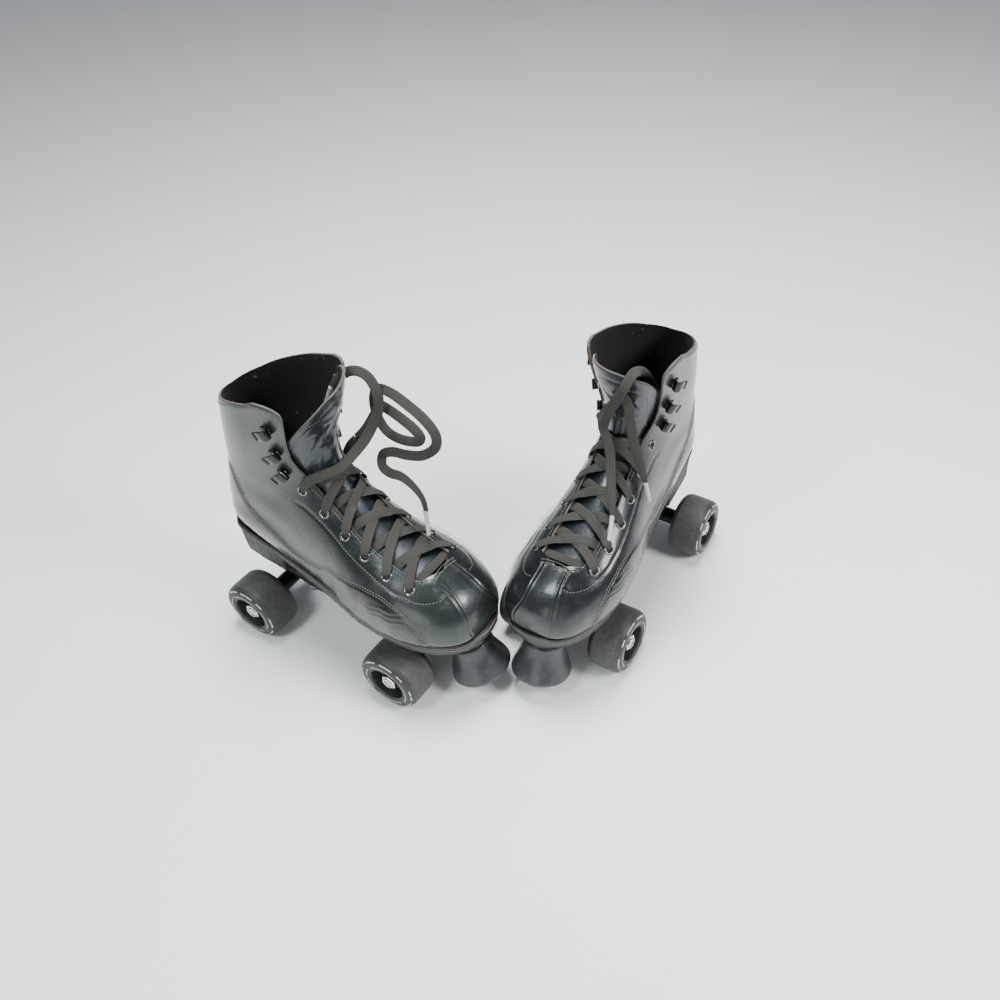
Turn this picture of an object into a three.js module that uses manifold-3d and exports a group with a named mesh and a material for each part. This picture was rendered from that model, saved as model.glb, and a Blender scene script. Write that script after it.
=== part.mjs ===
// A pair of high-top quad roller skates, set down toe to toe at a right angle.
// Millimetres, +Z up. Each skate is drawn in its own frame: +Y towards the toe,
// X across, origin on the floor midway between the two axles.
import * as THREE from 'three';
import { mergeVertices } from 'three/addons/utils/BufferGeometryUtils.js';
import Module from 'manifold-3d';

const wasm = await Module();
wasm.setup();

// ---- driving dimensions ----
const wheelRadius = 29;          // 58 mm wheels
const wheelWidth = 33;
const trackOuter = 62.6;         // centre line to the outer face of a wheel
const wheelBase = 159;
const wheelSides = 16;
const coreRadius = 16;           // hub that the tyre is cast on
const coreWidth = 21;
const axleRadius = 4;
const axleHalfLength = 60.2;
const nutAcrossFlats = 12.7;
const nutHeight = 6;
const nutRecess = 2.8;           // nut face inside the wheel's outer face
const gap = 0.3;                 // running and seating clearance
const boreGap = 0.3;

const soleBottom = 72;           // height of the flat under the sole
const plateThickness = 8.5;
const plateHalfWidth = 25;       // at the axles
const plateWaist = 30;           // under the arch
const plateRear = -104;
const plateFront = 134;

const hangerRadius = 8;
const ringDrop = 38;             // height of the hanger's ring centre
const ringBack = 25;             // distance from axle to kingpin, along the skate
const pivotHeight = 47;
const pivotAhead = 9;
const pivotPinRadius = 4.4;
const pivotPinLength = 8;
const kingpinRadius = 4;
const ringRadius = 11.5;
const ringThickness = 6;
const cushionRadius = 10.5;
const cushionFoot = 13;          // lower end of the cushion under the ring
const sleeveRadius = 5.8;        // waist of the cushion inside the ring

const stopRadius = 26.4;         // toe stop, face that meets the floor
const stopNeckRadius = 18.5;
const stopHeight = 40;
const stopTilt = THREE.MathUtils.degToRad(16);
const stopCentre = [133.3, 16.7];
const stemRadius = 5;
const stemLength = 54;
const headDepth = 4;             // bolt head up inside the stop

const leather = 3;               // wall of the upper with its lining
const tongueThickness = 3.2;
const tongueGap = 1.5;           // between the flaps and the tongue
const soleGap = 0.9;
const soleEnd = 8.35;            // station at the back of the heel seat
const archFront = 46;
const archRear = -50;            // breast of the heel
const heelRake = 4;
const insoleThickness = 4;
const insoleEnd = 7.4;           // station at the insole's heel end
const insoleGap = 1.8;           // over the curved floor of the boot
const laceRadius = 1.8;          // laced part
const laceLift = 2.8;            // laced part over the facets of the boot
const laceEndRadius = 2.6;       // free ends, a plain tube inside the flat lace

const rightLean = -1.5;          // degrees, positive leans outward
const leftLean = 4.5;
const leftAhead = 179.5;         // where the left skate stands, seen from the right one
const leftBeside = 155.5;

const coreCentre = trackOuter - nutRecess - nutHeight - gap - coreWidth / 2;

// ---- the boot's form ----
// Each station is a slice of the boot between a point on its front or top line and a
// point on its sole or back line: top y z, back y z, centre x, half width,
// share of the slice above its widest line, roundness above and below that line.
const stations = [
  [148, 97, 148, 92, 3, 2.0, 0.5, 2.0, 2.0],
  [145, 111, 146, 84, 3, 21.0, 0.62, 2.1, 3.0],
  [134, 124, 136, 83, 4, 33.0, 0.66, 2.2, 4.5],
  [114, 136, 116, 83, 6, 41.5, 0.66, 2.2, 5.0],
  [90, 147, 88, 83, 8, 45.0, 0.66, 2.1, 5.0],
  [64, 161, 46, 85, 8, 43.0, 0.64, 2.0, 4.5],
  [42, 178, 2, 90, 6, 37.0, 0.60, 2.0, 4.0],
  [30, 195, -48, 99, 5, 33.0, 0.62, 2.0, 4.0],
  [24, 211, -100, 108, 4, 31.0, 0.62, 2.0, 3.2],
  [22, 226, -106, 134, 3, 32.0, 0.60, 2.2, 2.4],
  [24, 242, -96, 175, 2, 34.0, 0.56, 2.4, 2.2],
  [30, 258, -88, 212, 2, 35.5, 0.52, 2.7, 2.2],
  [36, 276, -80, 247, 2, 36.0, 0.50, 3.0, 2.2],
  [40, 292, -76, 262, 2, 36.5, 0.50, 3.0, 2.2],
];
const throat = 3.0;              // station where the lacing gap begins
const shoeTop = 12.15;           // station of the cuff's edge
const gapAtThroat = 0.13;        // half opening, as a share of half a slice
const gapAtTop = 0.34;
const tongueTop = 11.2;
const tongueHalf = 0.27;

function blend(keys, place) {
  // A smooth curve through the keys, one step from each to the next
  const last = keys.length - 1;
  const p = Math.min(Math.max(place, 0), last - 1e-9);
  const i = Math.floor(p);
  const t = p - i;
  const at = (k) => keys[Math.min(Math.max(k, 0), last)];
  return keys[0].map((_, c) => {
    const p1 = at(i)[c];
    const p2 = at(i + 1)[c];
    const p0 = i > 0 ? at(i - 1)[c] : 2 * p1 - p2;
    const p3 = i + 2 <= last ? at(i + 2)[c] : 2 * p2 - p1;
    const cubic = 3 * p1 - p0 - 3 * p2 + p3;
    const square = 2 * p0 - 5 * p1 + 4 * p2 - p3;
    return 0.5 * (2 * p1 + (p2 - p0) * t + square * t * t + cubic * t * t * t);
  });
}

function bootPoint(place, round, inset) {
  // round: 0 on the front or top line, 1 on the sole or back line, positive outward
  const [ty, tz, by, bz, centre, half, widest, above, below] = blend(stations, place);
  const angle = Math.abs(round) * Math.PI;
  const s = Math.max(Math.sin(angle), 0);
  const c = Math.abs(Math.cos(angle));
  const top = angle < Math.PI / 2;
  const across = top ? s ** (2 / above) : s ** (2 / below);
  const down = top ? widest * (1 - c ** (2 / above)) : widest + (1 - widest) * c ** (2 / below);
  const length = Math.hypot(by - ty, bz - tz);
  const share = inset / length + (1 - (2 * inset) / length) * down;
  return new THREE.Vector3(
    centre + Math.sign(round) * (half - inset) * across,
    ty + (by - ty) * share,
    tz + (bz - tz) * share,
  );
}

function lacingGap(place) {
  // Half width of the lacing gap at a station
  if (place <= throat) return 0;
  const t = Math.min((place - throat) / (shoeTop - throat), 1);
  const opening = Math.min((place - throat) / 0.35, 1);
  return opening * (gapAtThroat + (gapAtTop - gapAtThroat) * t ** 1.6);
}

// ---- helpers ----
function geometryOf(points, faces) {
  const geometry = new THREE.BufferGeometry();
  const flat = points.flatMap((p) => [p.x, p.y, p.z]);
  geometry.setAttribute('position', new THREE.Float32BufferAttribute(flat, 3));
  geometry.setIndex(faces.flat());
  return welded(geometry);
}

function welded(geometry) {
  geometry.deleteAttribute('normal');
  geometry.deleteAttribute('uv');
  const merged = mergeVertices(geometry, 1e-3);
  const index = [];
  for (let i = 0; i < merged.index.count; i += 3) {
    const [a, b, c] = [0, 1, 2].map((k) => merged.index.getX(i + k));
    if (a !== b && b !== c && c !== a) index.push(a, b, c);
  }
  merged.setIndex(index);
  return merged;
}

function quads(rows, columns, first, flip) {
  // Triangles of a grid of points stored row by row
  const faces = [];
  for (let i = 0; i < rows - 1; i++) {
    for (let j = 0; j < columns - 1; j++) {
      const a = first + i * columns + j;
      const [b, c, d] = [a + 1, a + columns + 1, a + columns];
      faces.push(flip ? [a, c, b] : [a, b, c], flip ? [a, d, c] : [a, c, d]);
    }
  }
  return faces;
}

function slab(rows, columns, outer, inner) {
  // A closed sheet between two grids of points with the same layout
  const points = [];
  for (const side of [outer, inner]) {
    for (let i = 0; i < rows; i++) for (let j = 0; j < columns; j++) points.push(side(i, j));
  }
  const n = rows * columns;
  const faces = [...quads(rows, columns, 0, true), ...quads(rows, columns, n, false)];
  const wall = (a, b) => faces.push([a, b + n, a + n], [a, b, b + n]);
  for (let j = 0; j < columns - 1; j++) {
    wall(j, j + 1);
    wall((rows - 1) * columns + j + 1, (rows - 1) * columns + j);
  }
  for (let i = 0; i < rows - 1; i++) {
    wall((i + 1) * columns, i * columns);
    wall(i * columns + columns - 1, (i + 1) * columns + columns - 1);
  }
  return geometryOf(points, faces);
}

function solid(geometry) {
  const g = welded(geometry.clone());
  return new wasm.Manifold(new wasm.Mesh({
    numProp: 3,
    vertProperties: new Float32Array(g.attributes.position.array),
    triVerts: new Uint32Array(g.index.array),
  }));
}

function fromSolid(manifold) {
  const mesh = manifold.getMesh();
  const geometry = new THREE.BufferGeometry();
  geometry.setAttribute('position', new THREE.Float32BufferAttribute(mesh.vertProperties, 3));
  geometry.setIndex([...mesh.triVerts]);
  return geometry;
}

function rod(radius, from, to, sides = 12, endRadius = radius) {
  // A round bar between two points
  const a = new THREE.Vector3(...from);
  const b = new THREE.Vector3(...to);
  const geometry = new THREE.CylinderGeometry(endRadius, radius, a.distanceTo(b), sides);
  const along = b.clone().sub(a).normalize();
  const turn = new THREE.Quaternion().setFromUnitVectors(new THREE.Vector3(0, 1, 0), along);
  geometry.applyQuaternion(turn);
  const middle = a.add(b).multiplyScalar(0.5);
  return geometry.translate(middle.x, middle.y, middle.z);
}

function tube(points, radius, sides, steps) {
  const curve = new THREE.CatmullRomCurve3(points);
  const ring = new THREE.Shape();
  for (let k = 0; k < sides; k++) {
    const a = (2 * Math.PI * k) / sides;
    const [x, y] = [radius * Math.cos(a), radius * Math.sin(a)];
    if (k === 0) ring.moveTo(x, y);
    else ring.lineTo(x, y);
  }
  ring.closePath();
  return new THREE.ExtrudeGeometry(ring, { steps, extrudePath: curve, bevelEnabled: false });
}

function mirrored(geometry, side) {
  if (side > 0) return geometry;
  geometry.scale(-1, 1, 1);
  const index = geometry.index;
  for (let i = 0; i < index.count; i += 3) {
    const b = index.getX(i + 1);
    index.setX(i + 1, index.getX(i + 2));
    index.setX(i + 2, b);
  }
  return geometry;
}

function leaned(geometry, degrees) {
  // The soft boot leans sideways from the sole up
  const slope = Math.tan(THREE.MathUtils.degToRad(degrees));
  const p = geometry.attributes.position;
  for (let i = 0; i < p.count; i++) {
    p.setX(i, p.getX(i) + slope * Math.max(p.getZ(i) - stations[3][3], 0));
  }
  return geometry;
}

const finish = (color, roughness, metalness = 0) =>
  new THREE.MeshStandardMaterial({ color, roughness, metalness });

// ---- boot ----
function upper() {
  const places = [0, 0.12, 0.45, 1, 1.7, 2.4, throat, 3.35];
  for (let p = 4.1; p < shoeTop - 0.3; p += 0.8) places.push(p);
  places.push(shoeTop);
  const columns = 21;
  const at = (i, j) => {
    const open = lacingGap(places[i]);
    return open + (2 - 2 * open) * (j / (columns - 1));
  };
  const around = (t) => (t <= 1 ? t : t - 2);
  const outer = (i, j) => {
    if (i === 0) return bootPoint(0, 0.5, 0).lerp(bootPoint(0, -0.5, 0), 0.5);
    return bootPoint(places[i], around(at(i, j)), 0);
  };
  const inner = (i, j) => {
    const place = places[i] < 1.2 ? 0.6 + places[i] / 2 : places[i];
    if (i === 0) return bootPoint(0.6, 0.5, leather).lerp(bootPoint(0.6, -0.5, leather), 0.5);
    return bootPoint(place, around(at(i, j)), leather);
  };
  const rows = places.length;
  const points = [];
  for (const side of [outer, inner]) {
    for (let i = 0; i < rows; i++) for (let j = 0; j < columns; j++) points.push(side(i, j));
  }
  const n = rows * columns;
  const faces = [...quads(rows, columns, 0, true), ...quads(rows, columns, n, false)];
  const wall = (a, b) => faces.push([a, b + n, b], [a, a + n, b + n]);
  for (let j = 0; j < columns - 1; j++) {
    wall((rows - 1) * columns + j, (rows - 1) * columns + j + 1);
  }
  const firstOpen = places.indexOf(throat);
  for (let i = firstOpen; i < rows - 1; i++) {
    wall(i * columns, (i + 1) * columns);
    wall((i + 1) * columns + columns - 1, i * columns + columns - 1);
  }
  return geometryOf(points, faces);
}

function tongue() {
  const rows = 12;
  const columns = 7;
  const start = throat + 0.5;
  const clear = leather + tongueGap;
  const point = (i, j, inset) => {
    const place = start + (tongueTop - start) * (i / (rows - 1));
    const wide = tongueHalf * (0.72 + 0.28 * (i / (rows - 1)));
    return bootPoint(place, wide * ((2 * j) / (columns - 1) - 1), inset);
  };
  return slab(
    rows,
    columns,
    (i, j) => point(i, j, clear),
    (i, j) => point(i, j, clear + tongueThickness),
  );
}

function footOutline(grow, lastPlace, sections) {
  // Plan of the boot's foot, followed along its lower edge from toe to heel and back
  const lowEdge = 0.78;
  const side = (sign) => {
    const row = [];
    for (let k = 1; k <= sections; k++) {
      const place = (lastPlace * k) / sections;
      const p = bootPoint(place, sign * lowEdge, -grow);
      row.push([p.x, p.y + grow * Math.max(1 - place, 0)]);
    }
    for (const round of [0.84, 0.9, 0.96]) {
      const p = bootPoint(lastPlace, sign * round, -grow);
      row.push([p.x, p.y]);
    }
    return row;
  };
  const toe = bootPoint(0.05, 0, 0);
  const heel = bootPoint(lastPlace, 1, -grow);
  return [[toe.x, toe.y + grow], ...side(1), [heel.x, heel.y], ...side(-1).reverse()];
}

function extruded(outline, bottom, top) {
  const shape = new THREE.Shape(outline.map(([x, y]) => new THREE.Vector2(x, y)));
  const geometry = new THREE.ExtrudeGeometry(shape, { depth: top - bottom, bevelEnabled: false });
  return geometry.translate(0, 0, bottom);
}

function sideSlice(outline, halfWidth) {
  // A side view of [y, z] points carried right across the skate
  const shape = new THREE.Shape(outline.map(([y, z]) => new THREE.Vector2(y, z)));
  const geometry = new THREE.ExtrudeGeometry(shape, { depth: 2 * halfWidth, bevelEnabled: false });
  geometry.translate(0, 0, -halfWidth);
  const [x, y, z] = [[1, 0, 0], [0, 1, 0], [0, 0, 1]].map((v) => new THREE.Vector3(...v));
  return geometry.applyMatrix4(new THREE.Matrix4().makeBasis(y, z, x));
}

function outsole() {
  const weltWidth = 2.2;
  const top = [];
  for (let p = 0.8; p <= soleEnd; p += 0.45) {
    const low = bootPoint(p, 1, 0);
    top.push([low.y, low.z - soleGap]);
  }
  const [toeSide, heelSide] = [top[0], top[top.length - 1]];
  const profile = [
    [toeSide[0] + 30, soleBottom + 3],
    [toeSide[0] - 22, soleBottom],
    [archFront, soleBottom],
    [archFront - 30, soleBottom + 4],
    [archRear + 26, soleBottom + 13],
    [archRear + 3, soleBottom + 18],
    [archRear, soleBottom],
    [heelSide[0] + heelRake, soleBottom],
    [heelSide[0] - 30, heelSide[1]],
    ...top.reverse(),
    [toeSide[0] + 30, toeSide[1]],
  ];
  const plan = extruded(footOutline(weltWidth, soleEnd, 16), soleBottom - 5, 160);
  return fromSolid(solid(sideSlice(profile, 80)).intersect(solid(plan)));
}

function insole() {
  const rows = 9;
  const columns = 7;
  const clear = leather + insoleGap;
  const around = (j) => {
    const r = 0.88 + (0.24 * j) / (columns - 1);
    return r <= 1 ? r : r - 2;
  };
  const place = (i) => 1.6 + (insoleEnd - 1.6) * (i / (rows - 1));
  return slab(
    rows,
    columns,
    (i, j) => bootPoint(place(i), around(j), clear),
    (i, j) => bootPoint(place(i), around(j), clear + insoleThickness),
  );
}

// ---- laces ----
const eyelets = [
  [3.5, 0.205], [4.25, 0.21], [5.0, 0.21], [5.75, 0.225], [6.7, 0.245], [7.8, 0.265],
];

function lacedPart() {
  // Down the boot from the outer top eyelet and back up to the inner one
  const bend = 0.11;
  const tuck = 0.02;
  const lift = laceRadius + laceLift;
  const points = [];
  const over = (k, sign, going) => {
    const [place, round] = eyelets[k];
    points.push(bootPoint(place + bend * going, sign * (round - tuck), -lift));
    points.push(bootPoint(place, sign * round, -lift));
    points.push(bootPoint(place - bend * going, sign * (round - tuck), -lift));
  };
  const cross = (k, height) => {
    const place = (eyelets[k][0] + eyelets[k - 1][0]) / 2;
    points.push(bootPoint(place, 0, -height));
  };
  let sign = 1;
  for (let k = eyelets.length - 1; k > 0; k--) {
    over(k, sign, 1);
    cross(k, lift);
    sign = -sign;
  }
  const [firstPlace, firstRound] = eyelets[0];
  points.push(bootPoint(firstPlace + bend, sign * (firstRound - tuck), -lift));
  points.push(bootPoint(firstPlace, sign * firstRound, -lift));
  points.push(bootPoint(firstPlace - 2 * bend, sign * (firstRound - 4 * tuck), -lift));
  points.push(bootPoint(firstPlace - 3 * bend, 0, -lift));
  points.push(bootPoint(firstPlace - 2 * bend, -sign * (firstRound - 4 * tuck), -lift));
  points.push(bootPoint(firstPlace, -sign * firstRound, -lift));
  points.push(bootPoint(firstPlace + bend, -sign * (firstRound - tuck), -lift));
  sign = -sign;
  for (let k = 1; k < eyelets.length; k++) {
    cross(k, lift + 2 * laceRadius + 1.2);
    sign = -sign;
    over(k, sign, -1);
  }
  return points;
}

// Free ends, laid by hand in the skate's frame with +X outward
const routes = {
  right: {
    lace_end_a: [
      [28.4, 6.4, 195.3], [25.5, 12, 201], [19, 21, 205], [9, 29, 208], [-3, 32, 213], [-14, 37, 222],
      [-22, 42, 235], [-26, 46, 248], [-28, 45, 260], [-29, 39, 270], [-28, 30, 274], [-26, 20, 271],
      [-23, 10, 262], [-19, 2, 250], [-16, -2, 238],
    ],
    lace_end_b: [
      [-20.2, 6.2, 195.1], [-23, 11, 202], [-31, 20, 213], [-38, 28, 228], [-37, 36, 239], [-33, 49, 242],
      [-29, 64, 242], [-27, 76, 239], [-27, 82, 233], [-29, 77, 225], [-32, 63, 218], [-36, 47, 213],
      [-40, 33, 213], [-43, 24, 222], [-43, 24, 236], [-40, 31, 249], [-35, 43, 258], [-29, 60, 263],
      [-25, 76, 262], [-24, 91, 255], [-24, 100, 244], [-24, 98, 231], [-23, 85, 219], [-23, 69, 213],
      [-24, 53, 209], [-24, 42, 202], [-20, 43, 194], [-17, 53, 193], [-16, 65, 195], [-14, 77, 193],
      [-13, 86, 185], [-12, 89, 175], [-11, 88, 166], [-8, 90, 160], [-5, 94, 156],
    ],
  },
  left: {
    lace_end_a: [
      [-20.2, 6, 194.7], [-19, 9, 201], [-15, 16, 211], [-9, 23, 221], [-3, 28, 231], [3, 30, 241],
      [9, 31, 249], [14, 32, 251], [18, 33, 245], [20, 33, 235], [23, 33, 223], [26, 33, 211],
      [30, 32, 199], [34, 32, 187], [38, 31, 175], [41, 30, 164], [43, 29, 154],
    ],
    lace_end_b: [
      [23.6, -10, 198], [24.1, -11, 212], [23, -9, 228], [19, -3, 244], [18, 6, 258], [18, 17, 269],
      [17, 28, 274], [15, 36, 267], [11, 38, 256], [6, 38, 244], [2, 37, 232], [0, 37, 221],
      [5, 39, 212], [10, 42, 203], [14, 47, 193], [19, 54, 183], [25, 62, 173], [30, 70, 165],
      [33, 77, 159], [36, 84, 154],
    ],
  },
};

// ---- plate and trucks ----
function plateOutline() {
  // Rounded heel end, narrow at the axles, waist wider under the arch
  const points = [];
  const half = (y) => {
    const middle = 0.5 + 0.5 * Math.cos(Math.min(Math.abs(y) / (wheelBase / 2), 1) * Math.PI);
    return plateHalfWidth + (plateWaist - plateHalfWidth) * middle;
  };
  const span = plateFront - plateRear;
  const corner = 16;
  for (let k = 0; k <= 20; k++) {
    const y = plateRear + (span * k) / 20;
    const edge = Math.min(y - plateRear, plateFront - y);
    const inset = edge < corner ? corner - Math.sqrt(Math.max(corner ** 2 - (corner - edge) ** 2, 0)) : 0;
    points.push([half(y) - inset, y]);
  }
  return [...points, ...points.map(([x, y]) => [-x, y]).reverse()];
}

// In a truck's own frame +Y runs from the kingpin to the pivot, origin below the axle
const steerDirection = new THREE.Vector3(0, pivotAhead + ringBack, pivotHeight - ringDrop).normalize();
const kingDirection = new THREE.Vector3(0, -steerDirection.z, steerDirection.y);
const ringCentre = new THREE.Vector3(0, -ringBack, ringDrop);

function onTruck(along, up) {
  // A point by its distance along the steering axis and along the kingpin
  return ringCentre.clone().addScaledVector(steerDirection, along).addScaledVector(kingDirection, up);
}

const pivotAlong = Math.hypot(pivotAhead + ringBack, pivotHeight - ringDrop) + 1.2;
const bossAhead = 2;             // face of the pivot boss, past the end of the hanger's web
const bossDepth = 10.2;
const seatUp = 18.5;             // kingpin boss, from the ring centre along the kingpin
const socketGap = 0.6;
const steel = { kingpinEnd: 27, nutDepth: 6, washer: 1.6 };

function truckBosses() {
  const kingBoss = solid(rod(12, onTruck(0, seatUp).toArray(), onTruck(0, 42).toArray(), 20));
  const kingBore = solid(rod(
    kingpinRadius + boreGap,
    onTruck(0, seatUp - 2).toArray(),
    onTruck(0, steel.kingpinEnd + 1.5).toArray(),
  ));
  const face = onTruck(pivotAlong, 0).y + bossAhead;
  const bottom = pivotHeight - 6;
  const plateTop = soleBottom - gap;
  const pivotBoss = solid(sideSlice(
    [[face, plateTop - 2], [face, bottom], [face + bossDepth, bottom + 2], [face + bossDepth, plateTop - 2]],
    8,
  ));
  const socket = solid(rod(
    pivotPinRadius + socketGap,
    onTruck(pivotAlong, 0).toArray(),
    onTruck(pivotAlong + pivotPinLength + 1.2, 0).toArray(),
  ));
  return { add: kingBoss.add(pivotBoss), cut: kingBore.add(socket) };
}

function placed(manifold, y, turn) {
  // Puts a truck's solid under the skate, at the front axle or turned round at the rear
  const sign = turn ? -1 : 1;
  return manifold.scale([sign, sign, 1]).translate([0, y, 0]);
}

function plate() {
  const top = soleBottom - gap;
  let body = solid(extruded(plateOutline(), top - plateThickness, top));
  const bosses = truckBosses();
  const stopBoss = solid(rod(15, stopPoint(stopHeight + gap), stopPoint(stopHeight + 26), 20));
  body = body.add(placed(bosses.add, wheelBase / 2, false)).add(placed(bosses.add, -wheelBase / 2, true));
  body = body.add(stopBoss);
  const headroom = solid(new THREE.BoxGeometry(120, 400, 60).translate(0, 0, top + 30));
  const stemHole = solid(rod(stemRadius + boreGap, stopPoint(stopHeight - 4), stopPoint(stemLength + 1)));
  body = body.subtract(headroom).subtract(stemHole);
  body = body.subtract(placed(bosses.cut, wheelBase / 2, false));
  return fromSolid(body.subtract(placed(bosses.cut, -wheelBase / 2, true)));
}

function hanger() {
  const axle = [0, 0, wheelRadius];
  const end = coreCentre - coreWidth / 2 - gap;
  let body = solid(rod(hangerRadius, [-end, 0, wheelRadius], [end, 0, wheelRadius]));
  const side = (along, up) => {
    const p = onTruck(along, up);
    return [p.y, p.z];
  };
  const half = ringThickness / 2;
  const foot = new THREE.Vector3(...axle).sub(ringCentre);
  const [footAlong, footUp] = [foot.dot(steerDirection), foot.dot(kingDirection)];
  const web = [
    side(8, half), side(pivotAlong - 5, half + 1), side(pivotAlong, half + 1), side(pivotAlong, -half - 1),
    side(footAlong + 6, footUp), side(footAlong - 5, footUp), side(ringRadius + 2, -half), side(8, -half),
  ];
  body = body.add(solid(sideSlice(web, 8)));
  const ring = rod(ringRadius, onTruck(0, -half).toArray(), onTruck(0, half).toArray(), 16);
  body = body.add(solid(ring));
  const tip = pivotAlong + pivotPinLength;
  body = body.add(solid(rod(pivotPinRadius, side3(pivotAlong - 2), side3(tip), 12, pivotPinRadius - 0.8)));
  const hole = rod(sleeveRadius + 1.4, onTruck(0, -half - 3).toArray(), onTruck(0, half + 3).toArray(), 16);
  body = body.subtract(solid(hole));
  const bore = rod(axleRadius + boreGap, [-end - 2, 0, wheelRadius], [end + 2, 0, wheelRadius]);
  return fromSolid(body.subtract(solid(bore)));
}

const side3 = (along) => onTruck(along, 0).toArray();

function alongKingpin(profile) {
  // A body of revolution round the kingpin from [radius, distance above the ring] points
  const geometry = new THREE.LatheGeometry(profile.map(([r, z]) => new THREE.Vector2(r, z)), 12);
  const turn = new THREE.Quaternion().setFromUnitVectors(new THREE.Vector3(0, 1, 0), kingDirection);
  geometry.applyQuaternion(turn);
  geometry.translate(ringCentre.x, ringCentre.y, ringCentre.z);
  return welded(geometry);
}

function kingpin() {
  const { nutDepth, washer, kingpinEnd } = steel;
  const top = -cushionFoot - gap;
  return alongKingpin([
    [0, top - washer - nutDepth], [7, top - washer - nutDepth], [7, top - washer], [9, top - washer],
    [9, top], [kingpinRadius, top], [kingpinRadius, kingpinEnd], [0, kingpinEnd],
  ]);
}

function cushion() {
  const bore = kingpinRadius + boreGap;
  const seat = ringThickness / 2 + gap;
  const top = seatUp - gap;
  return alongKingpin([
    [bore, -cushionFoot], [cushionRadius - 2.5, -cushionFoot], [cushionRadius - 0.7, -seat - 3],
    [cushionRadius - 1.5, -seat], [sleeveRadius, -seat], [sleeveRadius, seat], [cushionRadius - 1, seat],
    [cushionRadius, (seat + top) / 2], [cushionRadius - 1, top], [bore, top], [bore, -cushionFoot],
  ]);
}

function axle() {
  const half = axleHalfLength;
  return welded(rod(axleRadius, [-half, 0, 0], [half, 0, 0]));
}

function nut() {
  const corner = nutAcrossFlats / Math.sqrt(3);
  const shape = new THREE.Shape();
  for (let k = 0; k < 6; k++) {
    const a = (Math.PI / 3) * k;
    if (k === 0) shape.moveTo(corner, 0);
    else shape.lineTo(corner * Math.cos(a), corner * Math.sin(a));
  }
  shape.closePath();
  const hole = new THREE.Path().absarc(0, 0, axleRadius + boreGap, 0, 2 * Math.PI, true);
  shape.holes.push(hole);
  const settings = { depth: nutHeight, bevelEnabled: false, curveSegments: 8 };
  const geometry = new THREE.ExtrudeGeometry(shape, settings);
  geometry.translate(0, 0, -nutHeight / 2);
  return welded(geometry.rotateY(Math.PI / 2));
}

// ---- wheels ----
function wheelTurned(profile) {
  // A ring about X from [radius, distance across] points, with a flat facing down
  const step = Math.PI / wheelSides;
  const points = profile.map(([r, x]) => new THREE.Vector2(r / Math.cos(step), x));
  const geometry = new THREE.LatheGeometry(points, wheelSides, step);
  return welded(geometry.rotateZ(-Math.PI / 2));
}

function tyre() {
  const half = wheelWidth / 2;
  const inner = coreRadius + gap;
  const r = wheelRadius;
  const ring = [
    [inner, -half + 3.5], [inner + 2.5, -half], [r - 5, -half], [r, -half + 5],
    [r, half - 5], [r - 5, half], [inner + 2.5, half], [inner, half - 3.5], [inner, -half + 3.5],
  ];
  return wheelTurned(ring);
}

function wheelCore() {
  const half = coreWidth / 2;
  const bore = axleRadius + boreGap;
  const boss = 11;
  const ring = [
    [bore, -half], [boss, -half], [coreRadius, -half + 4.5], [coreRadius, half - 1.5],
    [boss, half], [bore, half], [bore, -half],
  ];
  return wheelTurned(ring);
}

// ---- toe stop ----
function stopPoint(height) {
  const [y, z] = stopCentre;
  return [0, y - height * Math.sin(stopTilt), z + height * Math.cos(stopTilt)];
}

function onStop(profile, sides) {
  const geometry = new THREE.LatheGeometry(profile.map(([r, z]) => new THREE.Vector2(r, z)), sides);
  geometry.rotateX(Math.PI / 2 + stopTilt);
  geometry.translate(0, stopCentre[0], stopCentre[1]);
  return welded(geometry);
}

function toeStop() {
  const bore = stemRadius + boreGap;
  const recess = 11;
  const h = stopHeight;
  return onStop([
    [recess, 0], [stopRadius - 1.5, 0], [stopRadius, 2.5], [stopRadius - 3, 12], [stopNeckRadius + 1, 24],
    [stopNeckRadius, h - 5], [stopNeckRadius - 2.5, h - 4], [stopNeckRadius - 2.5, h], [bore, h],
    [bore, headDepth + 5 + gap], [recess, headDepth + 5 + gap], [recess, 0],
  ], 20);
}

function stopStem() {
  const head = 9;
  return onStop([
    [0, headDepth], [head, headDepth], [head, headDepth + 5], [stemRadius, headDepth + 5],
    [stemRadius, stemLength], [0, stemLength],
  ], 12);
}

// ---- assembly ----
const black = { leather: 0x2b3136, lining: 0x1d1a22, sole: 0x131414, plastic: 0x101112 };
const pair = new THREE.Group();

function add(group, name, geometry, material, x = 0, y = 0, z = 0) {
  const mesh = new THREE.Mesh(geometry, material);
  mesh.name = name;
  mesh.position.set(x, y, z);
  group.add(mesh);
  return mesh;
}

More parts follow.
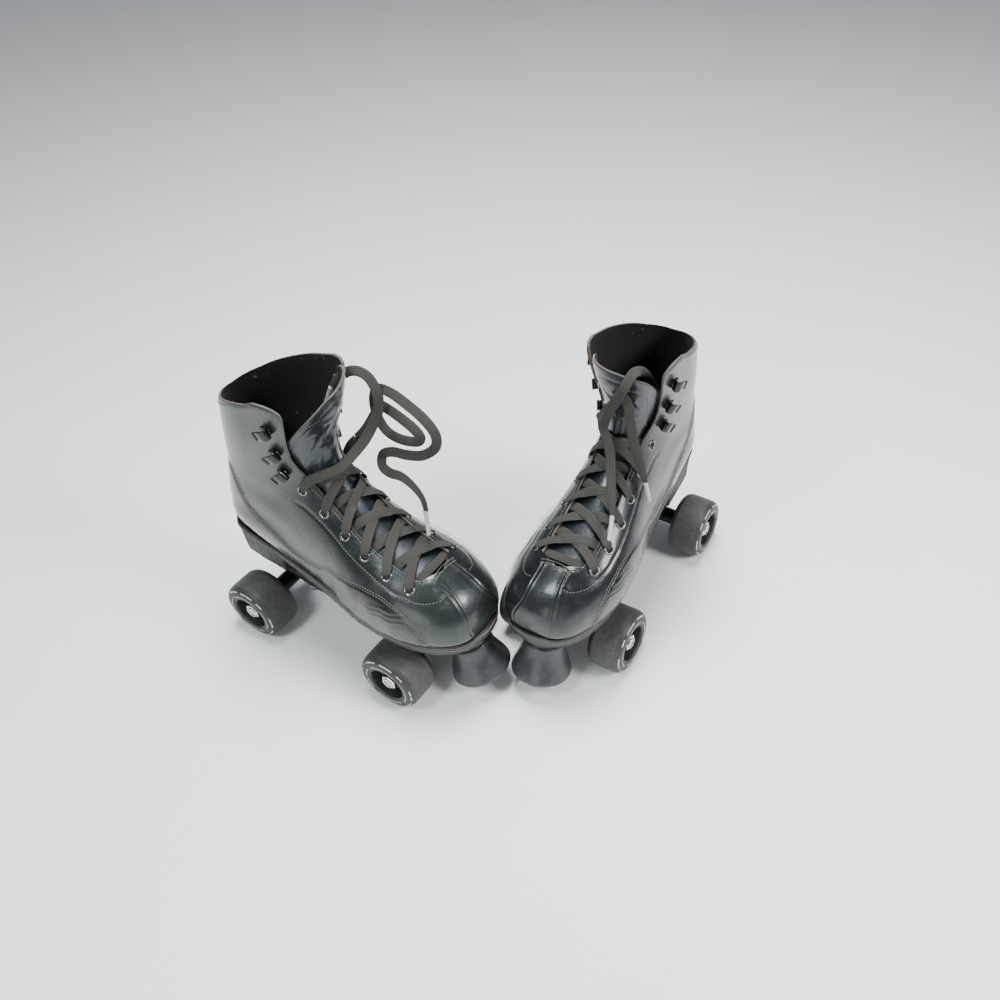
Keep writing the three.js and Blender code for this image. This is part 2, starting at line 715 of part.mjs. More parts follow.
function skate(name, side, lean, ahead, beside, heading) {
  const group = new THREE.Group();
  group.position.set(ahead, beside, 0);
  group.rotation.z = heading;
  const boot = (part, geometry, material) =>
    add(group, `${name}_${part}`, mirrored(leaned(geometry, lean), side), material);
  boot('upper', upper(), finish(black.leather, 0.4));
  boot('tongue', tongue(), finish(black.leather, 0.42));
  boot('insole', insole(), finish(black.lining, 0.9));
  boot('outsole', outsole(), finish(black.sole, 0.6));
  boot('lace', welded(tube(lacedPart(), laceRadius, 8, 64)), finish(0x3a3632, 0.85));
  for (const [part, points] of Object.entries(routes[name])) {
    const route = points.map((p) => new THREE.Vector3(...p));
    const steps = Math.round(new THREE.CatmullRomCurve3(route).getLength() / (5 * laceEndRadius));
    boot(part, welded(tube(route, laceEndRadius, 8, steps)), finish(0x3a3632, 0.85));
  }
  add(group, `${name}_plate`, plate(), finish(black.plastic, 0.3));
  add(group, `${name}_toe_stop`, toeStop(), finish(0x33363a, 0.7));
  add(group, `${name}_toe_stop_stem`, stopStem(), finish(0x9a9c9e, 0.3, 1));
  for (const [end, sign] of [['front', 1], ['rear', -1]]) {
    const truck = new THREE.Group();
    truck.position.y = (sign * wheelBase) / 2;
    truck.rotation.z = sign > 0 ? 0 : Math.PI;
    group.add(truck);
    add(truck, `${name}_hanger_${end}`, hanger(), finish(0x1a1b1d, 0.35, 0.4));
    add(truck, `${name}_kingpin_${end}`, kingpin(), finish(0x8c8e90, 0.3, 1));
    add(truck, `${name}_cushion_${end}`, cushion(), finish(0x1e1f21, 0.6));
    add(truck, `${name}_axle_${end}`, axle(), finish(0x9fa1a3, 0.28, 1), 0, 0, wheelRadius);
    for (const [hand, across] of [['outer', 1], ['inner', -1]]) {
      const x = across * side * sign;
      const label = `${name}_${end}_${hand}`;
      const out = trackOuter - wheelWidth / 2;
      add(truck, `${label}_tyre`, tyre(), finish(0x4a4e50, 0.6), x * out, 0, wheelRadius);
      const core = wheelCore();
      if (x < 0) core.rotateZ(Math.PI);
      add(truck, `${label}_core`, core, finish(0x2c2e28, 0.45), x * coreCentre, 0, wheelRadius);
      const nutPlace = trackOuter - nutRecess - nutHeight / 2;
      add(truck, `${label}_nut`, nut(), finish(0xb9bbbd, 0.25, 1), x * nutPlace, 0, wheelRadius);
    }
  }
  pair.add(group);
}

skate('right', 1, rightLean, 0, 0, -Math.PI / 2);
skate('left', -1, leftLean, leftAhead, leftBeside, Math.PI);

// The pair's own origin: on the floor, under the middle of all but the free lace ends
pair.updateMatrixWorld(true);
const bounds = new THREE.Box3();
pair.traverse((node) => {
  if (node.isMesh && !node.name.includes('lace_end')) bounds.expandByObject(node, true);
});
const middle = bounds.getCenter(new THREE.Vector3());
pair.position.set(-middle.x, -middle.y, 0);

export default pair;
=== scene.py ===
import math

import bmesh
import bpy
import numpy as np
from mathutils import Matrix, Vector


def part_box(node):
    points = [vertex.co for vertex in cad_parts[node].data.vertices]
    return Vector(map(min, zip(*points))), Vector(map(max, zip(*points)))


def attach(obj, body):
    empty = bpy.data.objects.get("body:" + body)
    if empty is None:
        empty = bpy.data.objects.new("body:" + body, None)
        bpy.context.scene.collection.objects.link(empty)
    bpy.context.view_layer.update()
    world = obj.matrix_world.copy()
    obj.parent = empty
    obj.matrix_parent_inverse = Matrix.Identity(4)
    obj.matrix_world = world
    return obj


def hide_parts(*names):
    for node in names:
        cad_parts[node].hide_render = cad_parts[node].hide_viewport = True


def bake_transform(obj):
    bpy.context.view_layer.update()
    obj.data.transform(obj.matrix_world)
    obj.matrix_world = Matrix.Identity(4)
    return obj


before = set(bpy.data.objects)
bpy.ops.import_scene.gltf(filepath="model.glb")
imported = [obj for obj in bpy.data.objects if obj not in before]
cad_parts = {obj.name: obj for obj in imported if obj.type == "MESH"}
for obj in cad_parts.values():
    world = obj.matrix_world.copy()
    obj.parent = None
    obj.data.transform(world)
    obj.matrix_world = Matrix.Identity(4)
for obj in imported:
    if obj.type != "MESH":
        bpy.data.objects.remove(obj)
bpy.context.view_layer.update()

# A pair of high-top quad roller skates. Each skate is drawn in its own frame: x outward, y towards
# the toe, z up, in millimetres from the floor midway between its axles. toRow puts it down in metres.
mm = 0.001
up = np.array([0.0, 0.0, 1.0])


def unit(v):
    # each vector over its own length
    return v / np.maximum(np.linalg.norm(v, axis=-1, keepdims=True), 1e-12)


def axleMiddle(node):
    # the mean of the two corners of the axle's box
    return np.array([list(corner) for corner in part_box(node)]).mean(0)


def skateFrame(name, outSign, lean):
    # toe points from the rear axle to the front one; out is toe turned by 90 degrees on the floor
    front, rear = axleMiddle(f"{name}_axle_front"), axleMiddle(f"{name}_axle_rear")
    toe = (front - rear) / np.linalg.norm(front - rear)
    origin = (front + rear) / 2
    return {"name": name, "body": f"{name}_skate", "lean": math.radians(lean),
            "origin": origin * [1, 1, 0], "toe": toe, "out": outSign * np.array([toe[1], -toe[0], 0.0]),
            "axleHeight": origin[2] / mm, "axleAhead": np.linalg.norm(front - rear) / 2 / mm}


skates = [skateFrame("right", 1, -1.5), skateFrame("left", -1, 4.5)]


def toRow(points, skate):
    # skate millimetres to row metres: origin + x out + y toe + z up
    p = np.asarray(points, float) * mm
    return skate["origin"] + p[..., :1] * skate["out"] + p[..., 1:2] * skate["toe"] + p[..., 2:] * up


# the camera's place is ahead, out and height from the right skate; the angles are degrees
view = {"place": (452.98, 338.96, 644.12), "azimuth": 30.08, "elevation": 42.5, "roll": -1.01,
        "lens": 31.215, "sensor": 36, "shift": (-0.1018, -0.0149), "clip": (0.01, 20)}


def putFacing(item, side, top, back, place):
    # the item's x, y and z axes are side, top and back, and its origin is at place
    turn = np.eye(4)
    turn[:3] = np.stack([side, top, back, place], -1)
    item.matrix_world = Matrix(turn.tolist())
    bpy.context.scene.collection.objects.link(item)


def aimCamera():
    # back points along azimuth and elevation, right lies level, and the roll turns right into top
    a, e, r = [math.radians(view[key]) for key in ("azimuth", "elevation", "roll")]
    back = np.array([math.sin(a) * math.cos(e), -math.cos(a) * math.cos(e), math.sin(e)])
    right = np.array([math.cos(a), math.sin(a), 0.0])
    top = np.cross(back, right)
    right, top = math.cos(r) * right + math.sin(r) * top, math.cos(r) * top - math.sin(r) * right
    ahead, out, height = view["place"]
    data = bpy.data.cameras.new("camera")
    data.lens, data.sensor_width = view["lens"], view["sensor"]
    data.shift_x, data.shift_y = view["shift"]
    data.clip_start, data.clip_end = view["clip"]
    camera = bpy.data.objects.new("camera", data)
    putFacing(camera, right, top, back, toRow([out, ahead, height], skates[0]))
    bpy.context.scene.camera = camera


def softLight(name, place, aim, size, power, tint=(1, 1, 1)):
    # a round lamp whose back points from its aim to its place
    data = bpy.data.lights.new(name, "AREA")
    data.shape, data.size, data.energy, data.color = "DISK", size, power, tint
    back = unit(np.array(place, float) - np.array(aim, float))
    side = unit(np.cross(up, back))
    putFacing(bpy.data.objects.new(name, data), side, np.cross(back, side), back, place)


aimCamera()
softLight("windowLight", (-0.15, -0.8, 1.25), (0, 0, 0.1), 0.35, 10, (0.9, 1.0, 0.98))
softLight("sideLight", (1.1, 0.1, 0.9), (0, 0, 0.08), 0.4, 17, (1.0, 0.96, 0.98))
softLight("topLight", (0.0, 0.15, 1.5), (0, 0, 0), 0.6, 38)
softLight("lowLight", (0.3, -1.3, 0.3), (0, 0, 0.08), 0.7, 4, (1.0, 0.98, 0.97))
world = bpy.data.worlds.new("studio")
world.use_nodes = True
sky = world.node_tree.nodes["Background"]
sky.inputs["Color"].default_value = (0.9, 0.94, 1.0, 1)
sky.inputs["Strength"].default_value = 0.3
bpy.context.scene.world = world
print("camera and lights set")


def plug(tree, port, value):
    # links a wire, or sets a number or a colour
    if isinstance(value, Wire):
        tree.links.new(value.socket, port)
    elif port.type == "RGBA":
        port.default_value = (*value, 1)
    else:
        port.default_value = value


class Wire:
    # a socket that is added, subtracted, multiplied and compared like a number
    def __init__(self, tree, socket):
        self.tree, self.socket = tree, socket

    def math(self, operation, *values):
        node = self.tree.nodes.new("ShaderNodeMath")
        node.operation = operation
        for port, value in zip(node.inputs, values):
            plug(self.tree, port, value)
        return Wire(self.tree, node.outputs[0])

    def __add__(self, other):
        return self.math("ADD", self, other)

    def __radd__(self, other):
        return self.math("ADD", other, self)

    def __sub__(self, other):
        return self.math("SUBTRACT", self, other)

    def __rsub__(self, other):
        return self.math("SUBTRACT", other, self)

    def __mul__(self, other):
        return self.math("MULTIPLY", self, other)

    def __rmul__(self, other):
        return self.math("MULTIPLY", other, self)

    def __gt__(self, other):
        return self.math("GREATER_THAN", self, other)

    def __lt__(self, other):
        return self.math("LESS_THAN", self, other)

    def wave(self):
        return self.math("SINE", self)

    def part(self):
        return self.math("FRACT", self)

    def clip(self):
        return self.math("MINIMUM", self.math("MAXIMUM", self, 0.0), 1.0)


class Finish:
    # a material under construction: one method makes every node
    def __init__(self, name, **fixed):
        self.material = bpy.data.materials.new(name)
        self.material.use_nodes = True
        self.tree = self.material.node_tree
        self.shader = self.tree.nodes["Principled BSDF"]
        for socket, value in fixed.items():
            self.shader.inputs[socket.replace("_", " ")].default_value = value
        self.place = self.node("ShaderNodeTexCoord", out="Object")
        self.uv = self.node("ShaderNodeTexCoord", out="UV")

    def node(self, kind, settings=None, inputs=None, out=0):
        node = self.tree.nodes.new(kind)
        for key, value in (settings or {}).items():
            setattr(node, key, value)
        for key, value in (inputs or {}).items():
            plug(self.tree, node.inputs[key], value)
        return Wire(self.tree, node.outputs[out])

    def noise(self, scale, detail=4, rough=0.55):
        return self.node("ShaderNodeTexNoise", None,
                         {"Vector": self.place, "Scale": scale, "Detail": detail, "Roughness": rough})

    def cells(self, scale, feature="F1"):
        return self.node("ShaderNodeTexVoronoi", {"feature": feature}, {"Vector": self.place, "Scale": scale})

    def ramp(self, value, low, high, start=0.0, end=1.0):
        # grey that goes from start at low to end at high
        grey = self.node("ShaderNodeValToRGB", None, {"Fac": value})
        for stop, at, shade in zip(grey.socket.node.color_ramp.elements, (low, high), (start, end)):
            stop.position, stop.color = at, (shade, shade, shade, 1)
        return grey

    def blend(self, share, first, second):
        # share 0 is the first colour, 1 the second
        return self.node("ShaderNodeMix", {"data_type": "RGBA"}, {0: share, 6: first, 7: second}, 2)

    def split(self, vector):
        x = self.node("ShaderNodeSeparateXYZ", None, {0: vector})
        return [Wire(self.tree, socket) for socket in x.socket.node.outputs]

    def feed(self, **links):
        for socket, value in links.items():
            self.tree.links.new(value.socket, self.shader.inputs[socket.replace("_", " ")])
        return self

    def bump(self, height, distance, strength):
        return self.feed(Normal=self.node("ShaderNodeBump", None,
                                          {"Height": height, "Distance": distance, "Strength": strength}))


def shaded(colour, factor):
    # each channel times the factor
    return tuple(factor * c for c in colour)


def within(value, low, high):
    # 1 between low and high, 0 outside
    return (value > low) * (value < high)


def leatherFinish(name, dark, light, tint):
    # coated leather: pebble grain, slow pearl colour drift, scuffs that turn it duller
    f = Finish(name, Coat_Weight=0.4, Coat_Roughness=0.16, Metallic=0.55, IOR=1.5)
    drift = f.ramp(f.noise(9, 3, 0.5), 0.35, 0.68)
    pearl = f.noise(22, 5, 0.6)
    scuff = f.ramp(f.noise(120, 8, 0.7), 0.56, 0.74)
    grain = f.cells(1500, "DISTANCE_TO_EDGE")
    pores = f.noise(2600, 2, 0.6)
    panel = f.node("ShaderNodeAttribute", {"attribute_name": "panel"}, None, "Fac")
    base = f.blend(drift, dark, light)
    base = f.blend(f.ramp(pearl, 0.5, 0.75, 0.0, 0.7), base, tint)
    base = f.blend(scuff * 0.12, base, (0.2, 0.21, 0.2))
    base = f.blend(panel * 0.55, base, shaded(dark, 0.4))
    f.feed(Base_Color=base, Roughness=0.23 + pearl * 0.13 + scuff * 0.12 - panel * 0.04)
    return f.bump(grain * 0.5 + pores * 0.25 + f.noise(320, 3) * 1.4, 0.00022, 0.75).material


def feltFinish(name, colour, lint):
    # napped lining: fibre noise and a few pale hairs
    f = Finish(name, Roughness=0.96, Sheen_Weight=0.06, Sheen_Roughness=0.6, Specular_IOR_Level=0.1)
    fibres = f.noise(1800, 6, 0.75)
    hairs = f.ramp(f.noise(240, 2, 0.4), 0.7, 0.74)
    specks = f.ramp(f.cells(380), 0.0, 0.09, 1.0, 0.0)
    base = f.blend(fibres, colour, shaded(colour, 1.9))
    base = f.blend(specks * f.noise(60, 2) * 0.9, base, lint)
    f.feed(Base_Color=f.blend(hairs * 0.5, base, lint))
    return f.bump(fibres + f.noise(500, 3) * 0.7, 0.0004, 0.8).material


def laceFinish(name):
    # flat weave: ribs run along the lace, short picks cross them
    f = Finish(name, Sheen_Weight=0.04, Specular_IOR_Level=0.2)
    along, across, _ = f.split(f.uv)
    ribs = (across * (2 * math.pi * 7)).wave() * 0.5 + 0.5
    picks = (along * (2 * math.pi / 0.9) + across * 22).wave() * 0.5 + 0.5
    fuzz = f.noise(1500, 5, 0.7)
    tone = f.blend(ribs * 0.75 + fuzz * 0.3, (0.010, 0.0098, 0.009), (0.055, 0.053, 0.048))
    tone = f.blend(f.noise(70, 3) * 0.4, tone, (0.075, 0.073, 0.066))
    f.feed(Base_Color=tone, Roughness=0.8 + fuzz * 0.15)
    return f.bump(ribs * 1.0 + picks * 0.35 + fuzz * 0.3, 0.00035, 0.9).material


def mouldedFinish(name, colour, pale, roughness, grain, coat=0.0, **fixed):
    # moulded rubber or plastic: fine skin, mould drift, dust and rubbed patches
    f = Finish(name, Coat_Weight=coat, Coat_Roughness=0.16, IOR=1.48, **fixed)
    skin = f.noise(1400, 3, 0.6)
    wear = f.ramp(f.noise(90, 8, 0.7), 0.48, 0.72)
    base = f.blend(f.noise(28, 6, 0.6) * 0.6, colour, shaded(colour, 1.5))
    f.feed(Base_Color=f.blend(wear * 0.45, base, pale), Roughness=roughness + wear * 0.18 + skin * 0.06)
    return f.bump(skin * grain + wear * 0.2, 0.00015, 0.6).material


def metalFinish(name, colour, roughness, dirt, brushed=0.0):
    # plated metal: faint turning marks, handling haze and specks of dirt
    f = Finish(name)
    haze = f.noise(160, 6, 0.65)
    pits = f.ramp(f.noise(900, 4, 0.7), 0.6, 0.8)
    base = f.blend(haze * 0.4, colour, shaded(colour, 0.7))
    base = f.blend(pits * dirt, base, (0.05, 0.045, 0.04))
    f.feed(Base_Color=base, Roughness=roughness + haze * 0.14 + pits * 0.2, Metallic=1 - pits * dirt * 0.6)
    return f.bump(f.noise(2400, 2) * brushed + pits * 0.5, 0.0001, 0.5).material


def wheelFinish(name):
    # cast urethane with broken pale arcs on both faces; reach is the place along the tyre's profile
    f = Finish(name, Coat_Weight=0.08, Coat_Roughness=0.3, Specular_IOR_Level=0.45)
    turnShare, reach, _ = f.split(f.uv)
    chip = f.noise(420, 5, 0.75)
    spots = f.ramp(f.noise(700, 3, 0.6), 0.62, 0.7)
    dashes = ((turnShare * 9).part() < 0.72) * ((turnShare * 3).part() > 0.12)
    rimArcs = within(reach, 0.528, 0.541) * dashes
    innerArcs = within(reach, 0.596, 0.605) * ((turnShare * 4).part() < 0.8)
    arcs = (rimArcs + innerArcs).clip() * (chip > 0.44)
    tread = within(reach, 0.2, 0.47)
    face = f.ramp(reach, 0.49, 0.525)
    base = f.blend(f.noise(36, 6), (0.013, 0.0145, 0.0145), (0.036, 0.039, 0.038))
    base = f.blend(tread * f.noise(240, 6) * 0.5, base, (0.13, 0.13, 0.122))
    base = f.blend(face * 0.75, base, (0.010, 0.011, 0.010))
    base = f.blend(spots * 0.22, base, (0.3, 0.29, 0.27))
    base = f.blend(arcs * 0.85, base, (0.72, 0.73, 0.72))
    f.feed(Base_Color=base, Roughness=0.45 + chip * 0.25 + tread * 0.12)
    return f.bump(chip * 0.6 + f.noise(1600, 3) * 0.5, 0.00014, 0.6).material


finishes = {
    "leather": leatherFinish("pearlLeather", (0.006, 0.008, 0.0095), (0.022, 0.033, 0.030),
                             (0.060, 0.044, 0.054)),
    "tongueLeather": leatherFinish("tongueLeather", (0.007, 0.009, 0.012), (0.019, 0.027, 0.032),
                                   (0.034, 0.038, 0.046)),
    "felt": feltFinish("feltLining", (0.0045, 0.0036, 0.0055), (0.16, 0.14, 0.16)),
    "edge": mouldedFinish("rawEdge", (0.075, 0.062, 0.05), (0.26, 0.22, 0.18), 0.8, 1.5),
    "thread": mouldedFinish("thread", (0.11, 0.108, 0.098), (0.26, 0.25, 0.22), 0.7, 1.0),
    "lace": laceFinish("flatLace"),
    "rim": metalFinish("eyeletRim", (0.2, 0.195, 0.19), 0.16, 0.3),
    "hook": metalFinish("blackNickel", (0.05, 0.05, 0.052), 0.13, 0.15),
    "washer": metalFinish("innerWasher", (0.78, 0.79, 0.8), 0.26, 0.12, 0.6),
    # near-black colour of the plugs in the eyelets' openings: painted shade
    "hole": mouldedFinish("paintedHoleShade", (0.006, 0.006, 0.007), (0.02, 0.02, 0.02), 0.8, 0.5),
    "sole": mouldedFinish("soleRubber", (0.007, 0.0072, 0.0072), (0.04, 0.04, 0.038), 0.4, 0.9),
    "plate": mouldedFinish("plateNylon", (0.009, 0.010, 0.011), (0.05, 0.05, 0.05), 0.2, 0.3, 0.5),
    "stop": mouldedFinish("stopRubber", (0.022, 0.0245, 0.026), (0.085, 0.09, 0.092), 0.36, 1.2, 0.15),
    "truck": metalFinish("truckCasting", (0.035, 0.036, 0.04), 0.3, 0.4, 1.0),
    "steel": metalFinish("platedSteel", (0.5, 0.5, 0.49), 0.26, 0.35, 0.8),
    "chrome": metalFinish("brightNut", (0.8, 0.8, 0.79), 0.12, 0.2, 0.3),
    "cushion": mouldedFinish("cushionRubber", (0.018, 0.018, 0.02), (0.08, 0.08, 0.08), 0.4, 0.8),
    "wheel": wheelFinish("wheelUrethane"),
    "hub": mouldedFinish("hubPlastic", (0.026, 0.029, 0.021), (0.12, 0.12, 0.09), 0.3, 0.8, 0.15),
    "aglet": mouldedFinish("aglet", (0.42, 0.43, 0.43), (0.75, 0.75, 0.74), 0.2, 0.4, 0.6,
                           Transmission_Weight=0.35)}


def floorFinish():
    # pale and nearly even: slow noise between two greys
    f = Finish("paleFloor", Roughness=0.7)
    f.feed(Base_Color=f.blend(f.noise(6, 3), (0.83, 0.84, 0.85), (0.88, 0.885, 0.89)))
    return f.bump(f.noise(300, 3), 0.0002, 0.2).material


floorMesh = bpy.data.meshes.new("floor")
floorMesh.from_pydata([(-6, -6, 0), (6, -6, 0), (6, 6, 0), (-6, 6, 0)], [], [(0, 1, 2, 3)])
floor = bpy.data.objects.new("floor", floorMesh)
floor.data.materials.append(floorFinish())
bpy.context.scene.collection.objects.link(floor)
print("finishes made")


def makePiece(name, points, faces, finish, body, slot, uv=None, which=None, smooth=True, panel=None,
              node=None):
    # points (n, 3) in row metres; faces (m, 4), a triangle with its last corner twice; which picks
    # a face's finish, panel is a value per point, and node is the CAD part that the piece stands for
    mesh = bpy.data.meshes.new(name)
    faces = np.asarray(faces)
    tri = faces[:, 3] == faces[:, 2]
    order = np.concatenate([faces[~tri].ravel(), faces[tri][:, :3].ravel()])
    sizes = np.concatenate([np.full((~tri).sum(), 4), np.full(tri.sum(), 3)])
    mesh.vertices.add(len(points))
    mesh.vertices.foreach_set("co", np.asarray(points, np.float32).ravel())
    mesh.loops.add(len(order))
    mesh.loops.foreach_set("vertex_index", order.astype(np.int32))
    mesh.polygons.add(len(sizes))
    mesh.polygons.foreach_set("loop_start", np.concatenate([[0], np.cumsum(sizes)[:-1]]).astype(np.int32))
    mesh.update(calc_edges=True)
    if uv is not None:
        layer = mesh.uv_layers.new(name="UVMap")
        layer.data.foreach_set("uv", np.asarray(uv, np.float32)[order].ravel())
    for material in (finish if isinstance(finish, list) else [finish]):
        mesh.materials.append(finishes[material])
    if panel is not None:
        mesh.attributes.new("panel", "FLOAT", "POINT").data.foreach_set("value", panel.astype(np.float32))
    if which is not None:
        which = np.asarray(which, np.int32)
        mesh.polygons.foreach_set("material_index", np.concatenate([which[~tri], which[tri]]))
    mesh.validate()
    work = bmesh.new()
    work.from_mesh(mesh)
    bmesh.ops.remove_doubles(work, verts=work.verts, dist=1e-6)
    bmesh.ops.recalc_face_normals(work, faces=work.faces)
    work.to_mesh(mesh)
    work.free()
    mesh.polygons.foreach_set("use_smooth", np.full(len(mesh.polygons), smooth))
    piece = bpy.data.objects.new(name, mesh)
    bpy.context.scene.collection.objects.link(piece)
    if body:
        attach(piece, body)
    if node:
        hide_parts(node)
    return piece


def gridFaces(rows, columns, closed=False, first=0):
    # quads of a rows by columns grid; closed joins the last column to the first
    i, j = np.meshgrid(np.arange(rows - 1), np.arange(columns if closed else columns - 1), indexing="ij")
    k = (j + 1) % columns
    corners = [i * columns + j, i * columns + k, (i + 1) * columns + k, (i + 1) * columns + j]
    return np.stack([c.ravel() for c in corners], -1) + first


def capFaces(ring, centre):
    # fan from a centre point to a ring of points
    ring = np.asarray(ring)
    after = np.roll(ring, -1)
    return np.stack([np.full(len(ring), centre), ring, after, after], -1)


def alongKeys(keys, t):
    # Catmull-Rom through the keys, one step each, t in steps
    keys = np.asarray(keys, float)
    ext = np.concatenate([[2 * keys[0] - keys[1]], keys, [2 * keys[-1] - keys[-2]]])
    t = np.clip(np.asarray(t, float), 0, len(keys) - 1 - 1e-9)
    i = np.floor(t).astype(int)
    f = (t - i)[..., None] if keys.ndim > 1 else t - i
    a, b, c, d = ext[i], ext[i + 1], ext[i + 2], ext[i + 3]
    return 0.5 * (2 * b + (c - a) * f + (2 * a - 5 * b + 4 * c - d) * f**2 + (3 * b - a - 3 * c + d) * f**3)


def evenPath(keys, step):
    # the same curve, resampled to equal steps
    fine = alongKeys(keys, np.linspace(0, len(keys) - 1, 40 * len(keys)))
    far = np.concatenate([[0], np.cumsum(np.linalg.norm(np.diff(fine, axis=0), axis=1))])
    marks = np.linspace(0, far[-1], max(int(round(far[-1] / step)), 3) + 1)
    return np.stack([np.interp(marks, far, fine[:, k]) for k in range(fine.shape[1])], -1), marks


def ribbon(path, normal, width, thick, corners=14, squareness=3.0):
    # a rounded flat section carried along a path: centre + side * w * cos + normal * t * sin,
    # both powers flattened so that the edges stay round and the faces flat
    tangent = unit(np.gradient(path, axis=0))
    side = unit(np.cross(tangent, normal))
    normal = np.cross(side, tangent)
    a = np.linspace(0, 2 * np.pi, corners, endpoint=False)
    cx = np.sign(np.cos(a)) * np.abs(np.cos(a)) ** (2 / squareness)
    cz = np.sign(np.sin(a)) * np.abs(np.sin(a)) ** (2 / squareness)
    wide = np.broadcast_to(np.asarray(width, float) / 2, len(path))[:, None, None]
    deep = np.broadcast_to(np.asarray(thick, float) / 2, len(path))[:, None, None]
    rings = (path[:, None] + side[:, None] * cx[None, :, None] * wide
             + normal[:, None] * cz[None, :, None] * deep)
    n, m = rings.shape[:2]
    points = np.concatenate([rings.reshape(-1, 3), path[:1], path[-1:]])
    faces = np.concatenate([gridFaces(n, m, True), capFaces(np.arange(m), n * m),
                            capFaces(np.arange((n - 1) * m, n * m), n * m + 1)])
    return points, faces, np.tile(cx / 2 + 0.5, n)


def turned(profile, centre, axis, sides=72):
    # a profile of (radius, distance) carried round an axis; it closes on the axis or on itself
    profile = np.asarray(profile, float)
    axis = unit(np.asarray(axis, float))
    a = unit(np.cross(axis, [0.31, 0.52, 0.79]))
    b = np.cross(axis, a)
    t = np.linspace(0, 2 * np.pi, sides, endpoint=False)
    around = np.cos(t)[:, None] * a + np.sin(t)[:, None] * b
    points = (np.asarray(centre, float) + profile[:, None, :1] * around[None]
              + profile[:, None, 1:] * axis[None, None])
    shares = np.linspace(0, 1, len(profile))
    uv = np.stack(np.broadcast_arrays(t[None] / (2 * np.pi), shares[:, None]), -1)
    return points.reshape(-1, 3), gridFaces(len(profile), sides, True), uv.reshape(-1, 2)


def rounded(profile, radius=0.6, steps=3):
    # rounds the corners of a profile: each corner becomes a short curve of the same radius
    p = np.asarray(profile, float)
    out = [p[0]]
    for before, at, after in zip(p[:-2], p[1:-1], p[2:]):
        r = min(radius, 0.45 * np.linalg.norm(before - at), 0.45 * np.linalg.norm(after - at))
        start, end = at + unit(before - at) * r, at + unit(after - at) * r
        for f in np.linspace(0, 1, steps + 1):
            out.append((1 - f) ** 2 * start + 2 * f * (1 - f) * at + f**2 * end)
    return np.array(out + [p[-1]])


# the boot's form, as in the CAD model; a station is the front line's y and z, the sole line's y
# and z, the centre's x, the half width, the share down where it is widest, and the powers above
# and below that place
stations = np.array([
    [148, 97, 148, 92, 3, 2.0, 0.5, 2.0, 2.0], [145, 111, 146, 84, 3, 21.0, 0.62, 2.1, 3.0],
    [134, 124, 136, 83, 4, 33.0, 0.66, 2.2, 4.5], [114, 136, 116, 83, 6, 41.5, 0.66, 2.2, 5.0],
    [90, 147, 88, 83, 8, 45.0, 0.66, 2.1, 5.0], [64, 161, 46, 85, 8, 43.0, 0.64, 2.0, 4.5],
    [42, 178, 2, 90, 6, 37.0, 0.60, 2.0, 4.0], [30, 195, -48, 99, 5, 33.0, 0.62, 2.0, 4.0],
    [24, 211, -100, 108, 4, 31.0, 0.62, 2.0, 3.2], [22, 226, -106, 134, 3, 32.0, 0.60, 2.2, 2.4],
    [24, 242, -96, 175, 2, 34.0, 0.56, 2.4, 2.2], [30, 258, -88, 212, 2, 35.5, 0.52, 2.7, 2.2],
    [36, 276, -80, 247, 2, 36.0, 0.50, 3.0, 2.2], [40, 292, -76, 262, 2, 36.5, 0.50, 3.0, 2.2]])
boot = {"throat": 3.0, "top": 12.15, "gapAtThroat": 0.13, "gapAtTop": 0.34, "wall": 2.8,
        "cuffKnee": 8.0, "leanFrom": 83, "rows": 184, "columns": 216}
cuffEdge = np.array([  # place of the cuff's edge against the place round the leg, outer side positive
    [-1, 12.0], [-0.8, 12.1], [-0.62, 12.4], [-0.5, 12.62], [-0.42, 12.68], [-0.37, 12.55], [-0.335, 12.2],
    [-0.31, 11.7], [0, 11.0], [0.28, 10.6], [0.303, 11.05], [0.325, 11.5], [0.355, 11.9], [0.4, 12.2],
    [0.45, 12.4], [0.49, 12.52], [0.505, 12.36], [0.6, 12.3], [0.75, 12.12], [1, 12.0]])


def bootPoint(place, around, inset=0.0):
    # slices between the front line and the sole line, each side two quarter superellipses
    place, around, inset = np.broadcast_arrays(*[np.asarray(v, float) for v in (place, around, inset)])
    ty, tz, by, bz, centre, half, widest, above, below = np.moveaxis(alongKeys(stations, place), -1, 0)
    angle = np.abs(around) * np.pi
    s, c = np.clip(np.sin(angle), 0, None), np.abs(np.cos(angle))
    top = angle < np.pi / 2
    across = np.where(top, s ** (2 / above), s ** (2 / below))
    down = np.where(top, widest * (1 - c ** (2 / above)), widest + (1 - widest) * c ** (2 / below))
    share = inset / np.hypot(by - ty, bz - tz)
    share = share + (1 - 2 * share) * down
    return np.stack([centre + np.sign(around) * (half - inset) * across,
                     ty + (by - ty) * share, tz + (bz - tz) * share], -1)


def bootNormal(place, around):
    # outward normal from the two partial differences
    d = 0.004
    place, around = np.broadcast_arrays(np.asarray(place, float), np.asarray(around, float))
    du = bootPoint(place + d, around) - bootPoint(place - d, around)
    dv = bootPoint(place, around + d) - bootPoint(place, around - d)
    n = unit(np.cross(du, dv))
    toCentre = bootPoint(place, around, 4.0) - bootPoint(place, around)
    return np.where(np.sum(n * toCentre, -1, keepdims=True) > 0, -n, n)


def lacingGap(place):
    # half the opening round the leg: it opens at the throat, then widens with height to the power 1.6
    t = np.clip((place - boot["throat"]) / (boot["top"] - boot["throat"]), 0, 1)
    opening = np.clip((place - boot["throat"]) / 0.35, 0, 1)
    return opening * (boot["gapAtThroat"] + (boot["gapAtTop"] - boot["gapAtThroat"]) * t**1.6)


def smooth(low, high, x):
    # eases from 0 at low to 1 at high: three t squared less two t cubed
    t = np.clip((x - low) / (high - low), 0, 1)
    return t * t * (3 - 2 * t)


